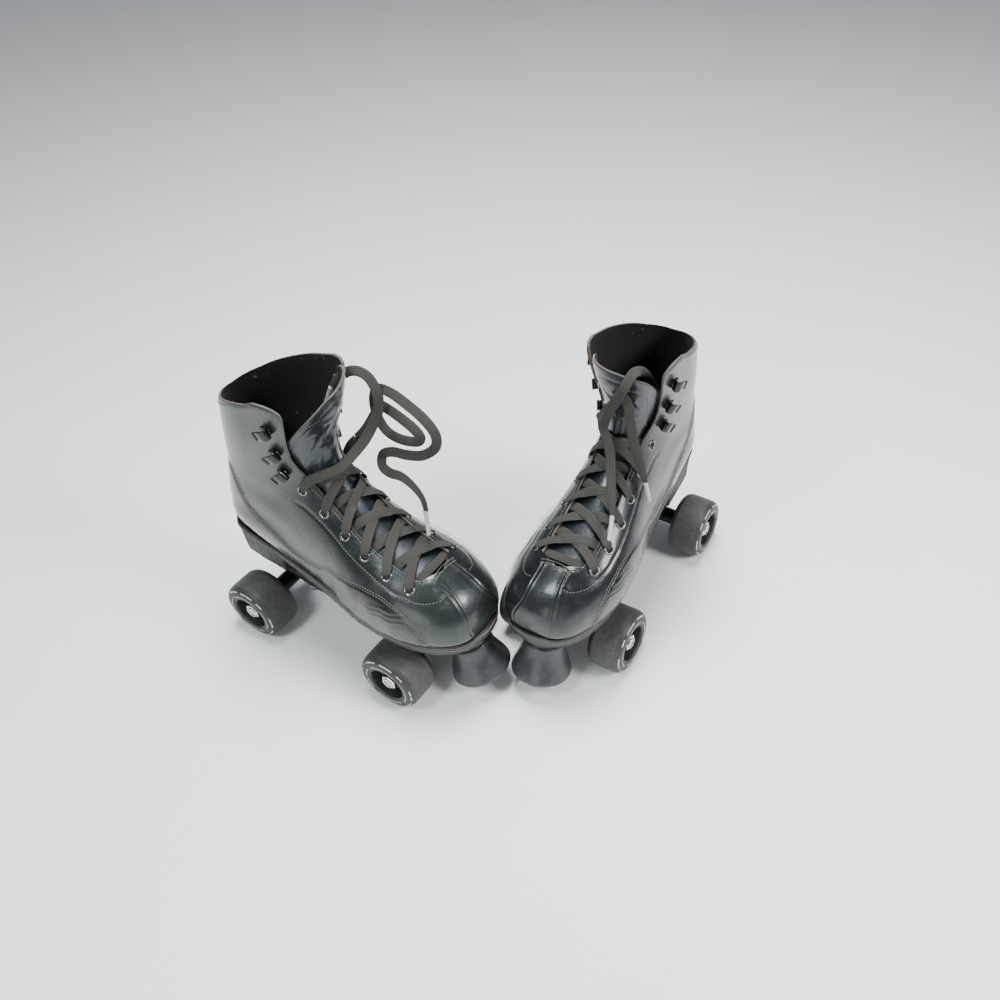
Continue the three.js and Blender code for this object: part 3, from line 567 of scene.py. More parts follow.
# seams as (place, round) keys on the outer side; the inner side mirrors them
seams = {
    "facing": [(7.6, 0.325), (7.25, 0.308), (6.5, 0.29), (5.6, 0.28), (4.9, 0.267), (4.0, 0.268),
               (3.54, 0.265), (3.1, 0.257), (2.75, 0.225), (2.5, 0.175), (2.42, 0.12)],
    "foxing": [(9.95, 0.70), (9.4, 0.61), (8.87, 0.555), (8.2, 0.52), (7.6, 0.515), (7.16, 0.525),
               (6.75, 0.54), (6.35, 0.535), (5.9, 0.50), (5.4, 0.44), (4.9, 0.385), (4.4, 0.352),
               (4.0, 0.35), (3.63, 0.37), (3.3, 0.41), (3.1, 0.45), (2.8, 0.56)],
    "toeOuter": [(3.06, 0.075), (2.6, 0.09), (2.2, 0.12), (1.7, 0.175), (1.3, 0.245), (1.0, 0.36),
                 (0.85, 0.5), (0.8, 0.62)],
    "toeInner": [(3.06, -0.075), (2.6, -0.08), (2.2, -0.088), (1.7, -0.105), (1.3, -0.14), (1.0, -0.22),
                 (0.8, -0.36), (0.7, -0.55)],
    "crossBar": [(3.0, -0.105), (3.04, -0.05), (3.05, 0.0), (3.04, 0.05), (3.0, 0.105)],
}


def seamDistance(points, keys, mirror=False):
    # millimetres from each point to a seam, the nearest of its finely sampled points
    line, _ = evenPath(keys, 0.02)
    track = bootPoint(line[:, 0], -line[:, 1] if mirror else line[:, 1])
    flat = points.reshape(-1, 3)
    best = np.full(len(flat), 1e9)
    for p in track:
        best = np.minimum(best, ((flat - p) ** 2).sum(1))
    return np.sqrt(best).reshape(points.shape[:-1])


foxingLine = np.array(sorted(seams["foxing"]))


def lowerPanel(place, around):
    # 1 on the overlay that wraps the heel and the sole's edge, 0 above its seam
    low = (np.abs(around) - np.interp(place, foxingLine[:, 0], foxingLine[:, 1])) * (95 + 4 * place)
    return smooth(-0.9, 0.5, low) * smooth(2.75, 2.95, place) * (1 - smooth(9.9, 10.2, place))


def relief(place, around, points):
    # how far the leather stands out, millimetres: overlay steps, seam valleys, soft creases
    side = np.abs(around)
    out = 0.9 * lowerPanel(place, around)
    for mirror in (False, True):
        out = out - 0.5 * np.exp(-(seamDistance(points, seams["facing"], mirror) / 1.3) ** 2)
    for name in ("toeOuter", "toeInner"):
        d = seamDistance(points, seams[name])
        out = out + 0.7 * np.exp(-(d / 2.6) ** 2) - 1.2 * np.exp(-(d / 0.75) ** 2)
    d = seamDistance(points, seams["crossBar"])
    out = out + 0.5 * np.exp(-(d / 3.2) ** 2)
    ring = np.linalg.norm(points - bootPoint(8.0, 0.77), axis=-1)
    out = out - 0.5 * np.exp(-((ring - 11) / 0.8) ** 2) * (around > 0)
    waves = np.sin(points[..., 2] * 1.5 + np.sin(points[..., 1] * 0.5)) > 0.2
    out = out + 0.35 * (ring < 9) * waves * (around > 0)
    mark = points - bootPoint(4.0, 0.43)
    inMark = smooth(1.0, 0.8, (mark[..., 1] / 21) ** 2 + (mark[..., 2] / 7) ** 2)
    lines = smooth(0.1, 0.5, np.sin(mark[..., 2] * 1.45 + 1.1 * np.sin(mark[..., 1] * 0.33)))
    out = out + 0.45 * (inMark * (side > 0.3) * (around > 0)) * lines
    x, y, z = np.moveaxis(points, -1, 0)
    flex = np.exp(-((place - 4.6) / 1.3) ** 2) * np.sin(y * 0.32 + 0.05 * x + 1.2 * np.sin(z * 0.07))
    ankle = np.exp(-((place - 8.0) / 1.0) ** 2) * np.sin(z * 0.19 + y * 0.06 + 0.8 * np.sin(y * 0.05))
    slow = np.sin(x * 0.071 + 1.7) * np.sin(y * 0.043 + 0.4) * np.sin(z * 0.052 + 2.1)
    return out + 0.22 * flex * smooth(0.12, 0.3, side) + 0.4 * ankle * smooth(0.3, 0.5, side) + 0.8 * slow


def lean(points, skate):
    # the soft boot leans sideways above the sole: x grows by tan(lean) times the height
    moved = points.copy()
    moved[..., 0] += np.tan(skate["lean"]) * np.clip(points[..., 2] - boot["leanFrom"], 0, None)
    return moved


def bootSkin(place, around, lift=0.0):
    # a point on the finished leather, seams and creases included
    p = bootPoint(place, around)
    return p + bootNormal(place, around) * (relief(place, around, p) + lift)[..., None]


def putOnBoot(label, skate, points, faces, finish, slot, **more):
    # a piece that leans with the boot and rides on the skate's body
    points = toRow(lean(points, skate), skate)
    return makePiece(skate["name"] + label, points, faces, finish, skate["body"], slot, **more)


def bootGrid(rows, columns):
    # rows from the toe to the cuff, columns from one side of the lacing gap round to the other
    place = np.concatenate([[0.0], np.linspace(0.02, 1, rows // 6) ** 1.5,
                            np.linspace(1.03, boot["top"], rows)])
    t = np.linspace(0, 1, columns)
    share = t - 0.045 * np.sin(4 * np.pi * t) / 2  # closer at the lacing edges
    place, share = np.meshgrid(place, share, indexing="ij")
    parted = lacingGap(place)
    around = parted + (2 - 2 * parted) * share
    around = np.where(around > 1, around - 2, around)
    edge = np.interp(around, cuffEdge[:, 0], cuffEdge[:, 1])
    knee = boot["cuffKnee"]
    stretched = knee + (edge - knee) * (place - knee) / (boot["top"] - knee)
    place = np.where(place > knee, stretched, place)
    gap = lacingGap(place)
    around = np.sign(around) * np.maximum(np.abs(around), np.where(place > boot["throat"], gap, 0))
    return place, around


def makeUpper(skate):
    # outside: the form + normal * (relief - edge roll); inside: the form inset by the wall
    place, around = bootGrid(boot["rows"], boot["columns"])
    rows, columns = place.shape
    skin = bootPoint(place, around)
    normal = bootNormal(np.maximum(place, 0.03), around)
    normal[0] = [0, 1, 0]
    lift = relief(place, around, skin)
    edgeRoll = np.exp(-((rows - 1 - np.arange(rows)) / 2.2) ** 2)[:, None]
    outer = skin + normal * (lift - 0.7 * edgeRoll)[..., None]
    outer[0] = outer[0].mean(0)
    innerPlace = np.where(place < 1.2, 0.6 + place / 2, place)
    inner = bootPoint(innerPlace, around, boot["wall"])
    inner += bootNormal(innerPlace, around) * (0.35 * edgeRoll)[..., None]
    inner[0] = inner[0].mean(0)
    points = np.concatenate([outer.reshape(-1, 3), inner.reshape(-1, 3)])
    n = rows * columns
    skinFaces, liningFaces = gridFaces(rows, columns), gridFaces(rows, columns, first=n)
    top = np.arange((rows - 1) * columns, n)
    start = int(np.argmax(place[:, 0] >= boot["throat"]))
    left = np.arange(start, rows) * columns
    right = left + columns - 1
    rim = np.concatenate([np.stack([line[:-1], line[1:], line[1:] + n, line[:-1] + n], -1)
                          for line in (top, left, right)])
    faces = np.concatenate([skinFaces, liningFaces, rim])
    which = np.concatenate([np.zeros(len(skinFaces)), np.ones(len(liningFaces)), np.full(len(rim), 2)])
    uv = np.stack([np.tile(place.ravel(), 2) / 13, np.tile(around.ravel(), 2) / 2 + 0.5], -1)
    putOnBoot("Boot", skate, points, faces, ["leather", "felt", "edge"], "boot_leather", uv=uv, which=which,
              panel=np.tile(lowerPanel(place, around).ravel(), 2), node=f"{skate['name']}_upper")


for skate in skates:
    makeUpper(skate)
print("boots made")


tongueSize = {"start": 3.5, "top": 11.75, "half": 0.27, "inset": 4.5, "thick": 2.4,
              "tilt": {"right": 1.1, "left": 0.35}}


def makeTongue(skate):
    # the boot's form inset, + normal * (puff - border groove + badge waves); the back is inset more
    name = skate["name"]
    rows, columns = 90, 48
    t, a = np.meshgrid(np.linspace(0, 1, rows), np.linspace(-1, 1, columns), indexing="ij")
    end = tongueSize["top"] - 0.55 * np.abs(a) ** 4 - tongueSize["tilt"][name] * a
    place = tongueSize["start"] + (end - tongueSize["start"]) * t
    around = tongueSize["half"] * (0.72 + 0.28 * t + 0.2 * t**3) * a
    puff = 0.7 * (1 - a**6) * (1 - t**12) + 0.06 * np.sin(t * 25 + 3 * a)
    border = np.exp(-((np.abs(a) - 0.86) / 0.03) ** 2) + np.exp(-((t - 0.93) / 0.008) ** 2)
    badge = smooth(0.62, 0.66, t) * (1 - smooth(0.84, 0.88, t)) * (1 - smooth(0.6, 0.66, np.abs(a)))
    waves = badge * (np.sin(a * 14 + 2.2 * np.sin(t * 40)) > 0.55)
    rise = puff - 0.35 * border * (t < 0.94) + 0.6 * waves
    front = bootPoint(place, around, tongueSize["inset"]) + bootNormal(place, around) * rise[..., None]
    back = bootPoint(place, around, tongueSize["inset"] + tongueSize["thick"])
    points = np.concatenate([front.reshape(-1, 3), back.reshape(-1, 3)])
    n = rows * columns
    left, right = np.arange(rows) * columns, np.arange(rows) * columns + columns - 1
    rim = np.concatenate([np.stack([line[:-1], line[1:], line[1:] + n, line[:-1] + n], -1)
                          for line in (left, right, np.arange(columns), np.arange(n - columns, n))])
    faces = np.concatenate([gridFaces(rows, columns), gridFaces(rows, columns, first=n), rim])
    quads = (rows - 1) * (columns - 1)
    which = np.repeat([0, 1, 2], [quads, quads, len(rim)])
    putOnBoot("TongueSkin", skate, points, faces, ["tongueLeather", "felt", "edge"], "tongue_leather",
              which=which, node=f"{name}_tongue")


for skate in skates:
    makeTongue(skate)
print("tongues made")


# holes and hooks as (place, round) on each side; the free ends in skate millimetres
lacing = {"width": 8.0, "thick": 1.3, "start": 0.4, "tip": 20.0, "facing": (452.98, 338.96, 644.12),
          "holes": [(3.5, 0.205), (4.25, 0.21), (5.0, 0.21), (5.75, 0.225), (6.7, 0.245), (7.8, 0.265)],
          "hooks": [(9.0, 0.325), (10.05, 0.365), (11.25, 0.425)]}
freeEnds = {
    ("right", "a"): [
        (28.4, 6.4, 195.3), (25.5, 12, 201), (19, 21, 205), (9, 29, 208), (-3, 32, 213), (-14, 37, 222),
        (-22, 42, 235), (-26, 46, 248), (-28, 45, 260), (-29, 39, 270), (-28, 30, 274), (-26, 20, 271),
        (-23, 10, 262), (-19, 2, 250), (-16, -2, 238)],
    ("right", "b"): [
        (-20.2, 6.2, 195.1), (-23, 11, 202), (-31, 20, 213), (-38, 28, 228), (-37, 36, 239), (-33, 49, 242),
        (-29, 64, 242), (-27, 76, 239), (-27, 82, 233), (-29, 77, 225), (-32, 63, 218), (-36, 47, 213),
        (-40, 33, 213), (-43, 24, 222), (-43, 24, 236), (-40, 31, 249), (-35, 43, 258), (-29, 60, 263),
        (-25, 76, 262), (-24, 91, 255), (-24, 100, 244), (-24, 98, 231), (-23, 85, 219), (-23, 69, 213),
        (-24, 53, 209), (-24, 42, 202), (-20, 43, 194), (-17, 53, 193), (-16, 65, 195), (-14, 77, 193),
        (-13, 86, 185), (-12, 89, 175), (-11, 88, 166), (-8, 90, 160), (-5, 94, 156)],
    ("left", "a"): [
        (-20.2, 6, 194.7), (-19, 9, 201), (-15, 16, 211), (-9, 23, 221), (-3, 28, 231), (3, 30, 241),
        (9, 31, 249), (14, 32, 251), (18, 33, 245), (20, 33, 235), (23, 33, 223), (26, 33, 211),
        (30, 32, 199), (34, 32, 187), (38, 31, 175), (41, 30, 164), (43, 29, 154)],
    ("left", "b"): [
        (23.6, -10, 198), (24.1, -11, 212), (23, -9, 228), (19, -3, 244), (18, 6, 258), (18, 17, 269),
        (17, 28, 274), (15, 36, 267), (11, 38, 256), (6, 38, 244), (2, 37, 232), (0, 37, 221),
        (5, 39, 212), (10, 42, 203), (14, 47, 193), (19, 54, 183), (25, 62, 173), (30, 70, 165),
        (33, 77, 159), (36, 84, 154)]}


def joinParts(parts):
    # several (points, faces) parts as one, each part's faces raised by the points before it
    count = np.cumsum([0] + [len(points) for points, _ in parts])
    faces = np.concatenate([faces + first for (_, faces), first in zip(parts, count)])
    return np.concatenate([points for points, _ in parts]), faces


def bandUv(across, length, corners=14):
    # along the band in millimetres / 100, across it from 0 to 1, end points last
    along = np.repeat(length, corners)
    uv = np.stack([along, across], -1)
    return np.concatenate([uv, [[along[0], 0.5], [along[-1], 0.5]]])


def makeBands(skate):
    # each band rises from an eyelet, crosses the gap and dives under the other facing
    parts, uvs = [], []
    holes = lacing["holes"]
    keysOf = []
    for k, ((place, around), (after, afterAround)) in enumerate(zip(holes[:-1], holes[1:])):
        for s in (1, -1):
            over = s == (1 if k % 2 else -1)
            whole = around + afterAround
            near = (around - lacingGap(place + 0.15)) / whole
            far = (around + lacingGap(after - 0.15)) / whole
            middle = (near + far) / 2
            share = np.array([-0.01, 0.03, near, (near + middle) / 2, middle, (middle + far) / 2, far - 0.04,
                              far + 0.05, 0.98])
            rise = [-1.6, 1.0, 1.5, 1.5 if over else 0.6, 1.3 if over else -0.5, 0.1 if over else -1.3, -2.7,
                    -3.9, -3.7]
            climb = share + 0.12 * np.sin(np.pi * share)
            keysOf.append(np.stack([place + (after - place) * climb, s * (around - whole * share), rise], -1))
    place, around = holes[0]
    keysOf.append([(place, around, -2.0), (place - 0.1, around * 0.8, -3.6), (place - 0.15, 0, -3.7),
                   (place - 0.1, -around * 0.8, -3.6), (place, -around, -2.0)])
    for keys in keysOf:
        line, _ = evenPath(keys, 0.05)
        path = bootPoint(line[:, 0], line[:, 1]) + bootNormal(line[:, 0], line[:, 1]) * line[:, 2:]
        path, marks = evenPath(path[::2], 1.2)
        share = np.linspace(0, 1, len(path))
        middle = np.interp(share, np.linspace(0, 1, len(line)), line[:, 0])
        turn = np.interp(share, np.linspace(0, 1, len(line)), line[:, 1])
        width = lacing["width"] * (0.55 + 0.45 * smooth(0, 0.12, share))
        points, faces, across = ribbon(path, bootNormal(middle, turn), width, lacing["thick"])
        parts.append((points, faces))
        uvs.append(bandUv(across, marks / 100))
    points, faces = joinParts(parts)
    putOnBoot("LaceBands", skate, points, faces, "lace", "lace_cotton", uv=np.concatenate(uvs),
              node=f"{skate['name']}_lace")


def flatTowards(path, first, skate):
    # the flat side turns from the boot towards one point in the open, eased along the lace
    aim = (toRow(lacing["facing"], skates[0]) - skate["origin"]) / mm
    aim = unit(np.array([aim @ skate["out"], aim @ skate["toe"], aim[2]]) - path.mean(0))
    share = smooth(0.0, 0.12, np.linspace(0, 1, len(path)))[:, None]
    want = unit(first * (1 - share) + aim * share)
    tangent = unit(np.gradient(path, axis=0))
    normal = want - tangent * np.sum(want * tangent, -1, keepdims=True)
    kernel = np.hanning(15) / np.hanning(15).sum()
    padded = np.pad(normal, ((7, 7), (0, 0)), mode="edge")
    return unit(np.stack([np.convolve(padded[:, k], kernel, "valid") for k in range(3)], -1))


def makeFreeEnd(skate, letter):
    # a ribbon along the route from its eyelet; the aglet is a tube along the last part of it
    key = (skate["name"], letter)
    route = np.array(freeEnds[key], float)
    side = 1 if key in (("right", "a"), ("left", "b")) else -1
    place, around = lacing["holes"][-1]
    normal = bootNormal(place, side * around)
    if key == ("left", "b"):
        normal = np.array([-0.3, -0.9, 0.3])
    else:
        route = np.concatenate([[bootPoint(place, side * around) + normal * lacing["start"]], route])
    path, marks = evenPath(lean(route, skate), 1.5)
    bandLength = marks[-1] - lacing["tip"] + 2
    keep = marks <= bandLength
    normals = flatTowards(path, normal, skate)
    width = lacing["width"] * (0.6 + 0.4 * smooth(0, 0.04, marks / marks[-1]))
    width = width * (1 - 0.5 * smooth(0.88, 1, marks / bandLength))
    thick = lacing["thick"] + 0.4 * (1 - width[keep] / lacing["width"])
    points, faces, across = ribbon(path[keep], normals[keep], width[keep], thick)
    piece = makePiece(f"{key[0]}LaceEnd{letter.upper()}", toRow(points, skate), faces, "lace",
                      skate["body"], "lace_cotton", bandUv(across, marks[keep] / 100))
    end = path[~keep]
    along = unit(end[-1] - end[0])
    length = np.linalg.norm(end[-1] - path[keep][-1]) + 1
    tube = [(0, -1), (1.9, -1), (2.0, 0), (1.8, 3), (1.7, length - 1), (1.2, length), (0, length)]
    points, faces, uv = turned(rounded(tube, 0.3), path[keep][-1], along, 20)
    aglet = makePiece(f"{key[0]}Aglet{letter.upper()}", toRow(points, skate), faces, "aglet",
                      skate["body"], "lace_cotton", uv)
    line = toRow(path[keep], skate)
    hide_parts(f"{key[0]}_lace_end_{letter}")


for skate in skates:
    makeBands(skate)
    for letter in "ab":
        makeFreeEnd(skate, letter)
print("laces made")


def putTurned(name, parts, finish, skate, body, slot, sides=40, leaned=True, node=None):
    # several turned profiles, each (profile, centre, axis), as one piece
    made = [turned(profile, centre, axis, sides) for profile, centre, axis in parts]
    points, faces = joinParts([(p, f) for p, f, _ in made])
    if leaned:
        points = lean(points, skate)
    return makePiece(name, toRow(points, skate), faces, finish, body, slot,
                     np.concatenate([uv for _, _, uv in made]), node=node)


# profiles of (radius, distance out of the leather), and the hook's curl as (back, out)
metal = {
    "eyelet": rounded([(2.7, -1.2), (2.8, 0.5), (3.4, 1.0), (4.3, 0.7), (4.7, 0.0), (4.5, -0.6),
                       (2.7, -1.2)], 0.5),
    # a closed dark plug that fills each eyelet's opening: painted shade
    "hole": [(0, 0.25), (2.9, 0.25), (2.9, -0.8), (0, -0.8)],
    "foot": rounded([(0, 1.5), (2.2, 1.4), (3.0, 0.9), (4.7, 0.8), (5.0, 0.1), (4.9, -0.6), (0, -0.6)], 0.4),
    "washer": rounded([(1.9, -0.4), (1.9, 0.7), (2.4, 1.0), (4.4, 0.8), (4.8, 0.2), (4.7, -0.4),
                       (1.9, -0.4)], 0.4),
    "curl": [(-0.5, 0.9), (-3.8, 1.3), (-5.6, 3.2), (-4.9, 5.4), (-1.6, 6.4), (2.4, 6.0), (5.2, 5.5),
             (6.4, 6.5)],
    "curlWidth": 9.0, "curlThick": 1.2}


def makeMetal(skate):
    # each ring, foot and washer stands on the leather's normal; a hook is a ribbon along its curl
    name, body = skate["name"], skate["body"]
    rims, holes, feet, washers, curls = [], [], [], [], []
    for s in (1, -1):
        for place, around in lacing["holes"]:
            n = bootNormal(place, s * around)
            centre = bootSkin(np.array(place), np.array(s * around))
            rims.append((metal["eyelet"], centre, n))
            # a dark plug in the eyelet's opening, painted shade
            holes.append((metal["hole"], centre, n))
        for place, around in lacing["hooks"]:
            n = bootNormal(place, s * around)
            centre = bootSkin(np.array(place), np.array(s * around))
            feet.append((metal["foot"], centre, n))
            back = unit(bootPoint(place, s * (around + 0.02)) - bootPoint(place, s * (around - 0.02)))
            path, _ = evenPath(centre + np.array(metal["curl"]) @ np.stack([back, n]), 0.5)
            wide = metal["curlWidth"] - 1.6 * np.abs(np.linspace(-1, 1, len(path))) ** 3
            tangent = unit(np.gradient(path, axis=0))
            normal = np.cross(tangent, np.cross(back, n))
            curls.append(ribbon(path, normal, wide, metal["curlThick"], 16, 5.0)[:2])
        for place, around in lacing["hooks"] + lacing["holes"][-2:]:
            n = bootNormal(place, s * around)
            shift = -0.06 if s < 0 and place > 8 else 0.0
            at = bootPoint(place + (0.2 if shift else 0), s * (around + shift), boot["wall"])
            washers.append((metal["washer"], at, -n))
    putTurned(f"{name}Eyelets", rims, "rim", skate, body, "plated_steel")
    # the eyelets' dark plugs: painted shade in their openings
    putTurned(f"{name}EyeletHoleShade", holes, "hole", skate, body, "plated_steel", 24)
    putTurned(f"{name}HookFeet", feet, "hook", skate, body, "plated_steel")
    putTurned(f"{name}Washers", washers, "washer", skate, body, "plated_steel")
    putOnBoot("Hooks", skate, *joinParts(curls), "hook", "plated_steel")


for skate in skates:
    makeMetal(skate)
print("eyelets and hooks made")


stitch = {"pitch": 2.7, "toePitch": 2.4, "barPitch": 2.2, "half": (1.0, 0.34, 0.3), "lift": 0.12}
tongueStitches = [(8.6, -0.215), (9.6, -0.22), (10.45, -0.215), (10.8, -0.17), (10.9, 0),
                  (10.8, 0.17), (10.45, 0.215), (9.6, 0.22), (8.6, 0.215)]


def onSkin(sign):
    # the place of a stitch on the finished leather; sign -1 mirrors the seam to the inner side
    return lambda place, around: bootSkin(place, sign * around, stitch["lift"])


def onTongue(place, around):
    # the tongue's form + normal * 0.55
    return bootPoint(place, around, tongueSize["inset"]) + bootNormal(place, around) * 0.55


def stitchesOn(pointAt, keys, offset=0.0, pitch=stitch["pitch"]):
    # small ellipsoids in a row: centre + tangent a cos p + side b sin p cos q + normal c sin p sin q
    line, _ = evenPath(keys, 0.01)
    track = pointAt(line[:, 0], line[:, 1])
    normal = bootNormal(line[:, 0], line[:, 1])
    tangent = unit(np.gradient(track, axis=0))
    side = unit(np.cross(normal, tangent))
    track = track + side * offset
    far = np.concatenate([[0], np.cumsum(np.linalg.norm(np.diff(track, axis=0), axis=1))])
    marks = np.arange(pitch / 2, far[-1], pitch)
    pick = [np.stack([np.interp(marks, far, v[:, k]) for k in range(3)], -1)
            for v in (track, tangent, side, normal)]
    p, q = np.meshgrid(np.linspace(0, np.pi, 6), np.linspace(0, 2 * np.pi, 7)[:-1], indexing="ij")
    a, b, c = stitch["half"]
    ball = np.stack([np.cos(p) * a, np.sin(p) * np.cos(q) * b, np.sin(p) * np.sin(q) * c], -1).reshape(-1, 3)
    points = pick[0][:, None] + sum(ball[None, :, k, None] * pick[k + 1][:, None] for k in range(3))
    faces = gridFaces(6, 6, True)[None] + (np.arange(len(marks)) * len(ball))[:, None, None]
    return points.reshape(-1, 3), faces.reshape(-1, 4)


def makeStitches(skate):
    # rows beside the facing, the overlay, the lacing edge and the cuff, then the toe and the tongue
    rows = []
    for s in (1, -1):
        rows.append(stitchesOn(onSkin(s), seams["facing"]))
        rows.append(stitchesOn(onSkin(s), seams["foxing"], 0.9))
        rows.append(stitchesOn(onSkin(s), seams["foxing"], 2.9))
        edge = [(place, lacingGap(place) + 0.022) for place in np.arange(3.5, 11.4, 0.4)]
        rows.append(stitchesOn(onSkin(s), edge))
        cuff = [(place - 0.17, abs(around)) for around, place in cuffEdge if s * around > 0.36]
        rows.append(stitchesOn(onSkin(s), sorted(cuff, key=lambda key: key[1])))
    for seam in ("toeOuter", "toeInner"):
        for offset in (-1.7, 1.7):
            rows.append(stitchesOn(onSkin(1), seams[seam], offset, stitch["toePitch"]))
    for offset in (-1.4, 1.4):
        rows.append(stitchesOn(onSkin(1), seams["crossBar"], offset, stitch["barPitch"]))
    rows.append(stitchesOn(onTongue, tongueStitches))
    putOnBoot("Stitches", skate, *joinParts(rows), "thread", "boot_leather")


for skate in skates:
    makeStitches(skate)
print("stitches made")


# end and low are places on the boot's form; the bottom's heights are keyed by the place ahead
soleForm = {"end": 8.35, "grow": 2.2, "low": 0.78, "breast": -50.0, "welts": ((1.0, 0.5), (3.6, 0.3)),
            "ahead": (-120, -50, -47, -24, 16, 46, 124, 154), "bottom": (72, 72, 90, 85, 76, 72, 72, 75),
            "capShares": (0.97, 0.85, 0.5, 0.0)}


def soleOutline():
    # the foot's plan along its lower edge, toe to heel on the outer side and back on the inner
    side = []
    for s in (1, -1):
        place = np.linspace(0.12, soleForm["end"], 150)
        p = bootPoint(place, s * soleForm["low"], -soleForm["grow"])
        p[:, 1] += soleForm["grow"] * np.clip(1 - place, 0, None)
        turn = np.linspace(0.8, 1.0, 26)[1:]
        side.append(np.concatenate([p, bootPoint(soleForm["end"], s * turn, -soleForm["grow"])]))
    toe = bootPoint(0.05, 0.0)[None] + [[0, soleForm["grow"], 0]]
    loop = np.concatenate([toe, side[0], side[1][::-1][1:]])[:, :2]
    loop = np.concatenate([loop, loop[:1]])
    far = np.concatenate([[0], np.cumsum(np.linalg.norm(np.diff(loop, axis=0), axis=1))])
    marks = np.linspace(0, far[-1], 561)[:-1]
    near = np.interp(marks, far, loop[:, 1])
    close = marks[np.abs(near - soleForm["breast"] - 1.5) < 3.5]  # more columns at the heel breast
    marks = np.sort(np.concatenate([marks, close + 0.3, close - 0.3, close + 0.6]))
    return np.stack([np.interp(marks, far, loop[:, k]) for k in range(2)], -1)


def soleHeights(y):
    # bottom and top of the sole's wall; the top lies 0.9 under the boot's sole line
    place = np.arange(0.8, soleForm["end"], 0.15)
    low = bootPoint(place, 1.0)
    order = np.argsort(low[:, 1])
    top = np.interp(y, low[order, 1], low[order, 2]) - 0.9
    return np.interp(y, soleForm["ahead"], soleForm["bottom"]), top


def narrowed(ring, centre, shares):
    # copies of a ring, each with x drawn to the centre line by one share
    x, y, z = ring.T
    return np.stack([np.stack([centre + (x - centre) * f, y, z], -1) for f in shares])


def makeSole(skate):
    # wall = plan - inward * (ribs - grooves - rolled edges + fine waves), closed by narrowed rings
    plan = soleOutline()
    inward = unit(np.stack([-np.gradient(plan[:, 1]), np.gradient(plan[:, 0])], -1))
    centre = bootPoint(np.interp(plan[:, 1], [-105, 148], [8, 1]), 0.0)[:, 0]
    if np.mean(np.sum(inward * (np.stack([centre, plan[:, 1] * 0.9], -1) - plan), -1)) < 0:
        inward = -inward
    bottom, top = soleHeights(plan[:, 1])
    q = np.linspace(0, 1, 46)[:, None]
    height = bottom + (top + 1.4 - bottom) * q
    heel = smooth(-44, -52, plan[:, 1])
    grooves = np.exp(-(((height - 74) % 3.4 - 1.7) / 0.42) ** 2) * (height < top - 5) * heel
    ribs = (0.5 * np.exp(-((height - top + 1.0) / 0.9) ** 2)
            + 0.35 * np.exp(-((height - top + 3.6) / 0.7) ** 2))
    fine = 0.12 * np.sin(np.arange(len(plan)) * 0.9) * (height < top - 5)
    roll = 0.9 * np.exp(-(q / 0.05) ** 2) + 0.5 * np.exp(-((1 - q) / 0.03) ** 2)
    out = ribs - 0.7 * grooves - roll + fine - 1.2 * heel * (1 - q)
    wall = np.concatenate([plan[None] - inward[None] * out[..., None], height[..., None]], -1)
    shares = soleForm["capShares"]
    rings = np.concatenate([narrowed(wall[0], centre, shares[::-1]), wall,
                            narrowed(wall[-1] - [0, 0, 0.8], centre, shares)])
    putOnBoot("Sole", skate, rings.reshape(-1, 3), gridFaces(*rings.shape[:2], True), "sole", "sole_rubber",
              node=f"{skate['name']}_outsole")
    welts = []
    for drop, stand in soleForm["welts"]:
        ring = np.concatenate([plan - inward * stand, (top - drop)[:, None]], -1)
        ring = np.concatenate([ring, ring[:1]])
        normal = np.concatenate([-inward, -inward[:1]])
        normal = np.concatenate([normal, np.zeros((len(normal), 1))], -1)
        welts.append(ribbon(ring, normal, 0.9, 0.6, 8, 2.0)[:2])
    putOnBoot("WeltLines", skate, *joinParts(welts), "thread", "sole_rubber")


for skate in skates:
    makeSole(skate)
print("soles made")


def roundedCopy(node, name, finish, body, voxel, passes=5):
    # a CAD part remeshed in cubes of one voxel and relaxed, so that its edges are rounded
    mesh = bpy.data.objects[node].data.copy()
    work = bmesh.new()
    work.from_mesh(mesh)
    bmesh.ops.remove_doubles(work, verts=work.verts, dist=1e-5)
    work.to_mesh(mesh)
    work.free()
    rough = bpy.data.objects.new(name + "Rough", mesh)
    bpy.context.scene.collection.objects.link(rough)
    remesh = rough.modifiers.new("remesh", "REMESH")
    remesh.mode, remesh.voxel_size = "VOXEL", voxel
    soft = rough.modifiers.new("soft", "SMOOTH")
    soft.factor, soft.iterations = 0.5, passes
    done = bpy.data.meshes.new_from_object(rough.evaluated_get(bpy.context.evaluated_depsgraph_get()))
    bpy.data.objects.remove(rough)
    done.materials.clear()
    done.materials.append(finishes[finish])
    done.polygons.foreach_set("use_smooth", np.full(len(done.polygons), True))
    piece = bpy.data.objects.new(name, done)
    bpy.context.scene.collection.objects.link(piece)
    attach(piece, body)
    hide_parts(node)


for skate in skates:
    name = skate["name"]
    roundedCopy(f"{name}_plate", f"{name}PlateBody", "plate", skate["body"], 0.0011)
    for end in ("front", "rear"):
        roundedCopy(f"{name}_hanger_{end}", f"{name}Hanger{end.title()}", "truck", f"{name}_truck_{end}",
                    0.0009)
print("plates and hangers made")


